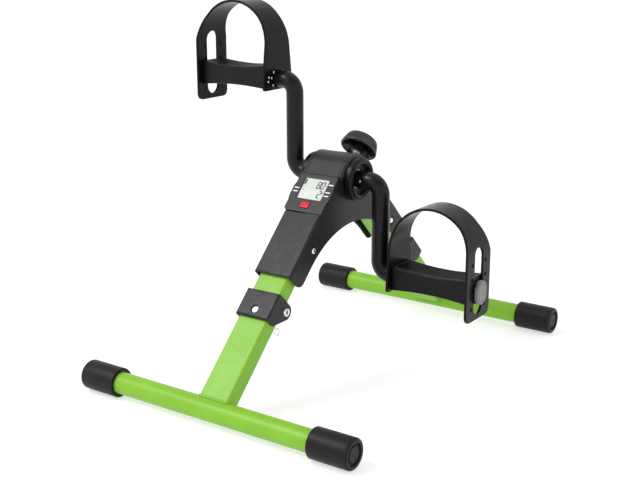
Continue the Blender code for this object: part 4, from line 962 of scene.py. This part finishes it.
def crank(end):
    """The bent round bar from the axle's end to the pedal's spindle."""
    root_bend = arc((CRANK_OFFSET - CRANK_BEND, -CRANK_BEND), CRANK_BEND, 90, 0, 28)
    tip_bend = arc((CRANK_OFFSET + CRANK_BEND, CRANK_BEND - CRANK_RADIUS), CRANK_BEND, 180, 270, 28)
    path = [(CRANK_ROOT, 0.0), *root_bend, *tip_bend, (CRANK_TIP, -CRANK_RADIUS)]
    bar = lofted(f"{HAND[end]}_crank_bar", round_bar(path, CRANK_BAR_RADIUS, 64))
    piece(bar, crank_placed(end), "crank", "crank_black", "black_steel", f"{HAND[end]}_crank")
    head = [(radius, CRANK_BAR_RADIUS - 0.0002 + height) for radius, height in rivet_head(0.0019, 0.0008)]
    shank = 0.0018
    tail = [(shank, 0.0084), (0.0022, 0.0084), (0.0020, 0.0096), (0.0, 0.0098)]
    pin = turned(f"{HAND[end]}_cross_pin", flipped(head + [(shank, head[-1][1])]) + tail, 48)
    place = crank_placed(end) @ at(CRANK_PIN_OFFSET, 0.0, 0.0) @ ALONG_Y
    piece(pin, place, "crank", "steel", "chrome", f"{HAND[end]}_crank_pin")


# ---- pedals ----
RIB_PITCH = 0.0036
RIB_HEIGHT = 0.0011


def pedal_section(y):
    """The pedal's outline in x and z at one place across it, drawn in at its edges and raised at each rib."""
    rounding = 0.0016
    near = max(0.0, (abs(y) - (PEDAL_HALF_DEPTH - rounding)) / rounding)
    inset = rounding * (1 - math.sqrt(max(0.0, 1 - near**2)))
    corner = rounding - 0.9 * inset
    inner = PEDAL_END - inset - corner
    ribbed = abs(y) < PEDAL_HALF_DEPTH - 0.003

    def top(x):
        rib = 0.5 + 0.5 * math.cos(2 * math.pi * y / RIB_PITCH)
        fade = min(1.0, max(0.0, (PEDAL_END - 0.004 - abs(x)) / 0.002))
        dished = PEDAL_TOP - PEDAL_DISH * (1 - (x / PEDAL_END) ** 2)
        return dished - inset - (RIB_HEIGHT * (1.0 - rib**0.5) * fade if ribbed else 0.0)

    def bottom(x):
        return PEDAL_BOTTOM + PEDAL_UNDERCUT * (1 - (x / PEDAL_END) ** 2) + inset

    upper = [(x, top(x)) for x in spread(-inner, inner, 44)]
    lower = [(x, bottom(x)) for x in spread(inner, -inner, 44)]
    right = arc((inner, top(inner) - corner), corner, 90, 0, 5)[1:]
    right += arc((inner, bottom(inner) + corner), corner, 0, -90, 5)[:-1]
    left = arc((-inner, bottom(inner) + corner), corner, 270, 180, 5)[1:]
    left += arc((-inner, top(inner) - corner), corner, 180, 90, 5)[:-1]
    return upper + right + lower + left


def pedal_body(end):
    """The dished platform with fine ribs along it, and the boss and pegs that hold the strap."""
    edge = spread(0.0, math.pi / 2, 6)
    rounding = 0.0016
    outer = [PEDAL_HALF_DEPTH - rounding + rounding * math.sin(angle) for angle in edge]
    across = [-y for y in reversed(outer)] + spread(-outer[0], outer[0], 120)[1:-1] + outer
    sections = [[(x, y, z) for x, z in pedal_section(y)] for y in across]
    platform = lofted(f"{HAND[end]}_pedal_platform", sections)
    body = f"{HAND[end]}_pedal"
    place = pedal_place(end)
    recess = drilled(0.0093, 0.030, -PEDAL_END, 0.0, 0.0, sides=64)
    platform = carved(platform, recess)
    piece(even_shading(platform), place, body, "pedal_black", "black_plastic", f"{HAND[end]}_pedal_body")
    boss = extruded("boss", [rounded_rectangle(0.024, 0.019, 0.002)], 0.006, 0.0004)
    moved(boss, at(PEDAL_END + 0.0021, 0.0, 0.0) @ ALONG_Y @ Matrix.Rotation(math.pi / 2, 4, "Y"))
    pegs = []
    for y in (-PEG_SPACING, PEG_SPACING):
        peg = [(0.0, 0.0042), (0.0010, 0.0040), (0.0014, 0.0034), (0.0014, -0.001), (0.0, -0.001)]
        pegs.append(moved(turned("peg", peg, 24), at(PEDAL_END, y, 0.0)))
    fittings = merged(f"{HAND[end]}_strap_boss", boss, *pegs)
    piece(even_shading(fittings), place, body, "pedal_black", "black_plastic")


def strap_half_width(z, start, from_foot, corner):
    """The strap's half width at a height above its taper's start, and at a distance from its rounded foot."""
    rise = min(1.0, max(0.0, (z - start) / (STRAP_TAPER_TOP - start)))
    half = STRAP_HALF_WIDTH + (STRAP_TOP_HALF_WIDTH - STRAP_HALF_WIDTH) * rise
    if from_foot < corner:
        half -= corner - math.sqrt(max(0.0, corner**2 - (corner - from_foot) ** 2))
    return half


def strap(end):
    """The moulded strap: a strip arched over the foot, with a slot and two rows of peg holes."""
    radius = STRAP_REACH - STRAP_THICKNESS / 2
    inner_leg = [(-radius, STRAP_INNER_FOOT + z) for z in (0.0, 0.0003, 0.0008, 0.0015, 0.0025)]
    inner_leg += [(-radius, z) for z in spread(STRAP_INNER_FOOT + 0.0035, PEDAL_ARCH, 16)]
    corner = STRAP_CORNER
    outer_leg = [(radius, z) for z in spread(PEDAL_ARCH, STRAP_BOTTOM + corner, 22)]
    foot = [(radius, STRAP_BOTTOM + corner * (1 - math.sin(a))) for a in spread(0.0, math.pi / 2, 10)[1:]]
    path = inner_leg + arc((0.0, PEDAL_ARCH), radius, 180, 0, 72)[1:-1] + outer_leg + foot
    points = [Vector((x, 0.0, z)) for x, z in path]
    half_thick = STRAP_THICKNESS / 2
    sections = []
    for index, centre in enumerate(points):
        ahead = (points[min(index + 1, len(points) - 1)] - points[max(index - 1, 0)]).normalized()
        away = Vector((-ahead.z, 0.0, ahead.x))
        if centre.x > 0:
            half = strap_half_width(centre.z, STRAP_TAPER_START, centre.z - STRAP_BOTTOM, corner)
        else:
            from_foot = centre.z - STRAP_INNER_FOOT
            half = strap_half_width(centre.z, STRAP_INNER_TAPER, from_foot, STRAP_INNER_CORNER)
        rounding = 0.0007
        section = rounded_rectangle(2 * half, 2 * half_thick, rounding, 3)
        sections.append([centre + Vector((0.0, y, 0.0)) + away * t for y, t in section])
    band = lofted(f"{HAND[end]}_foot_strap", sections)
    slot = arc((0.0, SLOT_TOP - SLOT_HALF_WIDTH), SLOT_HALF_WIDTH, 0, 180, 24)
    slot += arc((0.0, SLOT_BOTTOM + SLOT_HALF_WIDTH), SLOT_HALF_WIDTH, 180, 360, 24)
    cutters = [moved(extruded("cutter", [slot], 0.02), at(STRAP_REACH, 0.0, 0.0) @ ALONG_Y)]
    for row in range(-1, 3):
        for y in (-PEG_SPACING, PEG_SPACING):
            faces = (STRAP_REACH, STRAP_REACH - STRAP_THICKNESS) if row else (STRAP_REACH,)
            length = 2 * PEG_HOLE_DEPTH if row else 0.02
            for face in faces:
                cutters.append(drilled(PEG_HOLE_RADIUS, length, face, y, row * PEG_PITCH, sides=24))
    cutters.append(drilled(SPINDLE_RADIUS + 0.001, 0.02, -STRAP_REACH))
    band = carved(band, *cutters)
    softened(band, 0.0004, 2, lambda point: abs(point.y) < STRAP_HALF_WIDTH - 0.0095)
    body = f"{HAND[end]}_pedal"
    node = f"{HAND[end]}_pedal_strap"
    piece(even_shading(band), pedal_place(end), body, "strap_black", "black_plastic", node)


def pedal_end_cap(end):
    """The oval cap over the boss: a rounded edge, a groove and a slightly raised middle."""
    steps = ((0.0, 0.0004), (0.0, 0.0032), (0.0004, 0.0040), (0.0012, END_CAP_THICKNESS), (0.0022, 0.0044))
    steps += ((0.0027, 0.0039), (0.0031, 0.0039), (0.0036, 0.0043), (0.0046, END_CAP_THICKNESS))
    steps = ((0.0004, 0.0),) + steps
    width, height = END_CAP
    sections = []
    for inset, x in steps:
        outline = rounded_rectangle(width - 2 * inset, height - 2 * inset, 0.0112 - inset, 16)
        sections.append([(x, y, z) for y, z in outline])
    cap = lofted(f"{HAND[end]}_pedal_cap", sections, 30.0)
    low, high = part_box(f"{HAND[end]}_pedal_end_cap")
    start = min(abs(low.x), abs(high.x)) - PEDAL_X
    place = pedal_place(end) @ at(start, 0.0, 0.0)
    body = f"{HAND[end]}_pedal"
    piece(even_shading(cap), place, body, "cap_grey", "grey_plastic", f"{HAND[end]}_pedal_end_cap")


def strap_screws(end):
    """The small screws that hold the strap's inner end to the platform, five on each side of the spindle."""
    screws = []
    for y, z in ((0.0088, 0.0082), (0.0128, 0.0016), (0.0182, 0.0028), (0.0196, -0.0022), (0.0098, -0.0070)):
        for hand in (-1, 1):
            head = [(radius, -STRAP_REACH - height) for radius, height in rivet_head(0.0015, 0.0009)]
            profile = head + [(0.0, -STRAP_REACH + 0.0006)]
            screws.append(moved(turned("screw", profile, 24), at(0.0, hand * y, z)))
    heads = merged(f"{HAND[end]}_strap_screws", *screws)
    piece(heads, pedal_place(end), f"{HAND[end]}_pedal", "chrome", "chrome")


# ---- tension screw and knob ----
def knob():
    """The hollow knob: a tapered skirt with fine flutes, a cup and the boss that holds the rod."""
    top, foot = KNOB_HEIGHT, 0.0

    def fluting(angle, radius, x):
        side = (x - KNOB_FOOT_EDGE) / (top - 0.0055)
        if radius < KNOB_TOP_RADIUS - 0.001 or not 0.0 <= side <= 1.0:
            return 0.0
        fade = min(1.0, 6 * side, 6 * (1 - side))
        return -FLUTE_DEPTH * fade * (0.5 - 0.5 * math.cos(FLUTES * angle))

    crown = arc((KNOB_TOP_RADIUS - 0.003, top - 0.003), 0.003, 90, 15, 8)
    (shoulder, high), (wide, low) = crown[-1], (KNOB_RADIUS, KNOB_FOOT_EDGE)
    skirt = [(wide + (shoulder - wide) * t, low + (high - low) * t) for t in spread(1.0, 0.0, 14)]
    lip = KNOB_RADIUS - KNOB_WALL
    cup = [(KNOB_RADIUS - 0.0004, 0.0004), (KNOB_RADIUS - 0.0010, foot), (lip + 0.0005, foot), (lip, 0.0005)]
    cup += [(KNOB_TOP_RADIUS - KNOB_WALL - 0.001, top - KNOB_WALL), (KNOB_BOSS_RADIUS, top - KNOB_WALL)]
    boss = [(KNOB_BOSS_RADIUS, -0.0029), (KNOB_BOSS_RADIUS - 0.0006, -0.0035), (SCREW_RADIUS + GAP, -0.0035)]
    hole = [(SCREW_RADIUS + GAP, top - 0.0037), (0.0, top - 0.0037)]
    dish = [(0.0, top - 0.0008), (0.0120, top - 0.0008), (0.0135, top)]
    profile = dish + crown + skirt[1:] + cup + boss + hole
    shape = turned("tension_knob_body", profile, 448, ripple=fluting)
    place = SCREW_PLACE @ at(0.0, -KNOB_STANDOFF, 0.0) @ Matrix.Rotation(math.pi, 4, "Z") @ ALONG_Y
    piece(shape, place, "knob", "knob_black", "black_plastic", "tension_knob")


def threaded_rod():
    """The tension rod: a rolled thread between two plain ends."""
    low, high = -0.0360, 0.0112
    pitch = SCREW_LEAD

    def thread(angle, radius, x):
        if not low + 0.004 < x < high - 0.002 or radius < 0.001:
            return 0.0
        turn = (x / pitch - angle / (2 * math.pi)) % 1.0
        return -0.0006 * abs(2 * turn - 1.0)

    stations = spread(low + 0.0005, high - 0.0005, 240)
    profile = [(0.0, low), (SCREW_RADIUS - 0.0005, low)] + [(SCREW_RADIUS, x) for x in stations]
    profile += [(SCREW_RADIUS - 0.0005, high), (0.0, high)]
    rod = turned("tension_screw", profile, 36, ripple=thread)
    piece(rod, SCREW_PLACE @ ALONG_Y, "knob", "steel", "steel", "tension_rod")


def nut():
    """A hexagon nut with chamfered corners, set on the saddle's face."""
    outlines = [arc((0.0, 0.0), NUT_RADIUS, 0, 300, 5), arc((0.0, 0.0), SCREW_RADIUS + GAP, 0, 352.5, 47)]
    head = extruded("tension_hex_nut", outlines, NUT_DEPTH, 0.0005, 2)
    place = SCREW_PLACE @ at(0.0, -GAP - NUT_DEPTH / 2, 0.0)
    piece(even_shading(head), place, "frame", "steel", "steel", "tension_nut")


# ---- meter ----
def meter_outline(inset=0.0):
    x = METER_HALF_WIDTH - inset
    bulge = x + METER_BULGE
    corners = rounded_rectangle(2 * x, 2 * METER_HALF_HEIGHT - 2 * inset, 0.004 - 0.8 * inset, 8)
    side = [(x, -0.0135), (x, -0.0115), (bulge, -0.0075), (bulge, 0.0075), (x, 0.0115), (x, 0.0135)]
    side = filleted(side, 0.0030, 5, closed=False)
    half = len(corners) // 2
    return corners[:half] + [(-a, -b) for a, b in side] + corners[half:] + side


def meter_case():
    """The meter's face: a plate with bulging sides, a sunk window with a bevelled rim and a button well."""
    steps = ((0.0004, METER_PLATE), (0.0, METER_PLATE - 0.0004), (0.0, 0.0008), (0.0003, 0.0002))
    steps += ((0.0010, 0.0),)
    sections = [[(x, depth, z) for x, z in meter_outline(inset)] for inset, depth in steps]
    plate = lofted("meter_face_plate", sections)
    width, height = WINDOW
    well = []
    for grow, depth in ((0.0012, -0.0005), (0.0012, 0.0), (0.0, 0.0009), (0.0, 0.0018)):
        outline = rounded_rectangle(width + 2 * grow, height + 2 * grow, 0.0012 + grow, 4)
        well.append([(x, depth, z + WINDOW_RAISE) for x, z in outline])
    window = lofted("cutter", well)
    play = 0.0010
    slot = extruded("cutter", [rounded_rectangle(BUTTON[0] + play, BUTTON[1] + play, 0.0017)], 0.008)
    moved(slot, at(0.0, 0.0, -BUTTON_DROP))
    plate = carved(plate, window, slot)
    across, along, deep = METER_TUB
    inner = rounded_rectangle(across - 2 * METER_WALL, along - 2 * METER_WALL, 0.001)
    walls = extruded("meter_tub", [rounded_rectangle(across, along, 0.002), inner], deep, 0.0002, 1)
    piece(even_shading(plate), METER_PLACE, "frame", "meter_black", "black_plastic", "meter_case")
    place = METER_PLACE @ at(0.0, METER_PLATE + deep / 2 - 0.0001, 0.0)
    piece(even_shading(walls), place, "frame", "meter_black", "black_plastic")


def button():
    """The red push button, crowned and softly rounded."""
    sections = []
    steps = ((0.0, 0.0040), (0.0, -0.0006), (0.0003, -0.0010), (0.0009, -0.0013), (0.0022, -BUTTON_PROUD))
    for inset, depth in steps:
        outline = rounded_rectangle(BUTTON[0] - 2 * inset, BUTTON[1] - 2 * inset, 0.0016 - 0.5 * inset, 6)
        sections.append([(x, depth, z - BUTTON_DROP) for x, z in outline])
    key = lofted("meter_push_button", sections)
    piece(even_shading(key), METER_PLACE, "meter_button", "red", "red_plastic", "meter_button")


def display():
    """The display: its pale back, the figures on it and the clear window over it."""
    width, height = WINDOW
    back = extruded("display_panel", [rounded_rectangle(width, height, 0.0010)], 0.0006, 0.0001, 1)
    sunk = METER_PLACE @ at(0.0, 0.0015, WINDOW_RAISE)
    piece(back, sunk, "frame", "display", "display", "lcd_panel")
    outline = rounded_rectangle(width - 0.0004, height - 0.0004, 0.0010)
    pane = extruded("display_window", [outline], 0.0004, 0.0001, 1)
    piece(pane, METER_PLACE @ at(0.0, 0.0008, WINDOW_RAISE), "frame", "lens", "clear", "meter_lens")
    figures()


INK_DEPTH = 0.00012
SEGMENTS = {"0": "abcdef", "2": "abged", "8": "abcdefg"}


def segment_bars(width, height, stroke):
    """The seven bars of a figure, each as its two ends in x and z."""
    w, h, gap = width / 2, height / 2, 0.12 * stroke
    return {
        "a": ((-w + gap, h), (w - gap, h)),
        "b": ((w, h - gap), (w, gap)),
        "c": ((w, -gap), (w, -h + gap)),
        "d": ((-w + gap, -h), (w - gap, -h)),
        "e": ((-w, -gap), (-w, -h + gap)),
        "f": ((-w, h - gap), (-w, gap)),
        "g": ((-w + gap, 0.0), (w - gap, 0.0)),
    }


def bar(start, end, stroke, lean, place):
    """A long hexagon from one point to another, leaned to the right and raised a little from the panel."""
    start, end = Vector(start), Vector(end)
    ahead = (end - start).normalized()
    side = Vector((-ahead.y, ahead.x)) * stroke / 2
    tip = ahead * stroke / 2
    outline = [start, start + tip + side, end - tip + side, end, end - tip - side, start + tip - side]
    leaned = [(a + lean * b, b) for a, b in outline]
    return moved(extruded("bar", [leaned], INK_DEPTH), place)


def figures():
    """The display's figures: a pair, one below it, a block and three small arrows."""
    bars = []
    stroke, lean = 0.0012, 0.12
    shapes = segment_bars(0.0037, 0.0094, stroke)
    for x, z, figure in ((0.0053, 0.0062, "8"), (0.0107, 0.0062, "0"), (0.0107, -0.0060, "2")):
        bars += [bar(*shapes[name], stroke, lean, at(x, 0.0, z)) for name in SEGMENTS[figure]]
    block = extruded("block", [rounded_rectangle(0.0022, 0.0079, 0.0002, 2)], INK_DEPTH)
    bars.append(moved(block, at(-0.0148, 0.0, 0.0089)))
    for x, z in ((0.0150, 0.0062), (-0.0140, -0.0020), (0.0150, -0.0034)):
        arrow = extruded("arrow", [[(-0.0007, 0.0009), (0.0009, 0.0), (-0.0007, -0.0009)]], INK_DEPTH)
        bars.append(moved(arrow, at(x, 0.0, z)))
    made = merged("display_figures", *bars)
    piece(made, METER_PLACE @ at(0.0, 0.0011, WINDOW_RAISE), "frame", "ink", "display")


def label_dashes():
    """Short printed dashes beside the display, where the functions are marked."""
    marks = ((0.0218, 0.0138), (0.0218, 0.0034), (0.0218, -0.0014), (-0.0221, 0.0045), (-0.0221, -0.0003))
    dashes = []
    for x, z in marks:
        dash = extruded("dash", [rounded_rectangle(0.0066, 0.0014, 0.0004, 3)], 0.0001)
        dashes.append(moved(dash, at(x, 0.0, z)))
    made = merged("label_dashes", *dashes)
    piece(made, METER_PLACE @ at(0.0, -0.00003, 0.0), "frame", "white_print", "white_nylon")


# ---- CAD nodes that keep their shape ----
KEPT = {
    "steel": ["crank_axle", "brake_drum", "trip_magnet", "left_pedal_spindle", "right_pedal_spindle"],
    "chrome": ["left_spindle_clip", "right_spindle_clip", "meter_battery"],
    "nylon": ["left_bush", "right_bush", "left_pedal_bush", "right_pedal_bush", "brake_shoe"],
    "ring_black": ["brake_guide", "reed_sensor", "sensor_lead", "meter_back"],
    "board": ["meter_board"],
}


def kept_nodes():
    for look, nodes in KEPT.items():
        for node in nodes:
            shown = frame["nodes"][node]
            shown.data.materials.clear()
            shown.data.materials.append(looks[look])
            shaded(shown.data, 35.0)


# ---- studio ----
def studio_floor():
    """A wide round floor that curves up into a wall all round, of paper that glows like a lit sweep."""
    bend, radius = 0.8, 3.2
    profile = [(0.0, 0.0), *arc((radius - bend, bend), bend, 270, 360, 24), (radius, radius)]
    floor = turned("studio_floor", profile, 128)
    glow = {"Emission_Color": (1.0, 1.0, 1.0, 1.0), "Emission_Strength": 0.58}
    look = Finish("studio_paper", (0.48, 0.48, 0.48), 0.75, **glow)
    look.tone(look.noise(3.0), 0.995, 1.0)
    floor.data.materials.append(look.material)
    floor.matrix_world = Matrix.Rotation(-math.pi / 2, 4, "Y")


def area_light(name, place, aim, size, power):
    lamp = bpy.data.lights.new(name, "AREA")
    lamp.shape = "RECTANGLE"
    lamp.size, lamp.size_y = size
    lamp.energy = power
    made = bpy.data.objects.new(name, lamp)
    bpy.context.scene.collection.objects.link(made)
    made.location = place
    made.rotation_euler = (Vector(aim) - Vector(place)).to_track_quat("-Z", "Y").to_euler()


def studio_light():
    area_light("key_light", (-1.1, -1.3, 1.9), (0.0, 0.0, 0.12), (1.05, 1.05), 35)
    area_light("fill_light", (2.0, -0.6, 1.2), (0.0, 0.0, 0.15), (1.6, 1.2), 1.5)
    area_light("top_light", (0.0, 0.5, 2.1), (0.0, 0.3, 0.0), (2.6, 2.2), 15)
    world = bpy.data.worlds.new("studio_world")
    world.use_nodes = True
    background = world.node_tree.nodes["Background"]
    background.inputs["Color"].default_value = (1.0, 1.0, 1.0, 1.0)
    background.inputs["Strength"].default_value = 0.30
    bpy.context.scene.world = world


CAMERA_PLACE = Vector((0.7442, -1.1020, 0.5264))
CAMERA_AIM = Vector((-0.0251, 0.0, 0.1501))
CAMERA_LENS = 63.8


def studio_camera():
    data = bpy.data.cameras.new("studio_camera")
    data.lens = CAMERA_LENS
    data.sensor_width = 36.0
    camera = bpy.data.objects.new("studio_camera", data)
    bpy.context.scene.collection.objects.link(camera)
    camera.location = CAMERA_PLACE
    camera.rotation_euler = (CAMERA_AIM - CAMERA_PLACE).to_track_quat("-Z", "Y").to_euler()
    bpy.context.scene.camera = camera
    bpy.context.scene.view_settings.view_transform = "Standard"


studio_camera()
saddle()
top_cover()
frame_rivets()
for side in (-1, 1):
    stub(side)
    bracket(side)
    pivot_rivet(side)
    leg(side)
    weld_bead(side)
    foot(side)
    lock_pin(side)
for end in (-1, 1):
    hub_cap(end)
    crank(end)
    pedal_body(end)
    strap(end)
    pedal_end_cap(end)
    strap_screws(end)
knob()
threaded_rod()
nut()
meter_case()
display()
button()
label_dashes()
kept_nodes()
studio_floor()
studio_light()
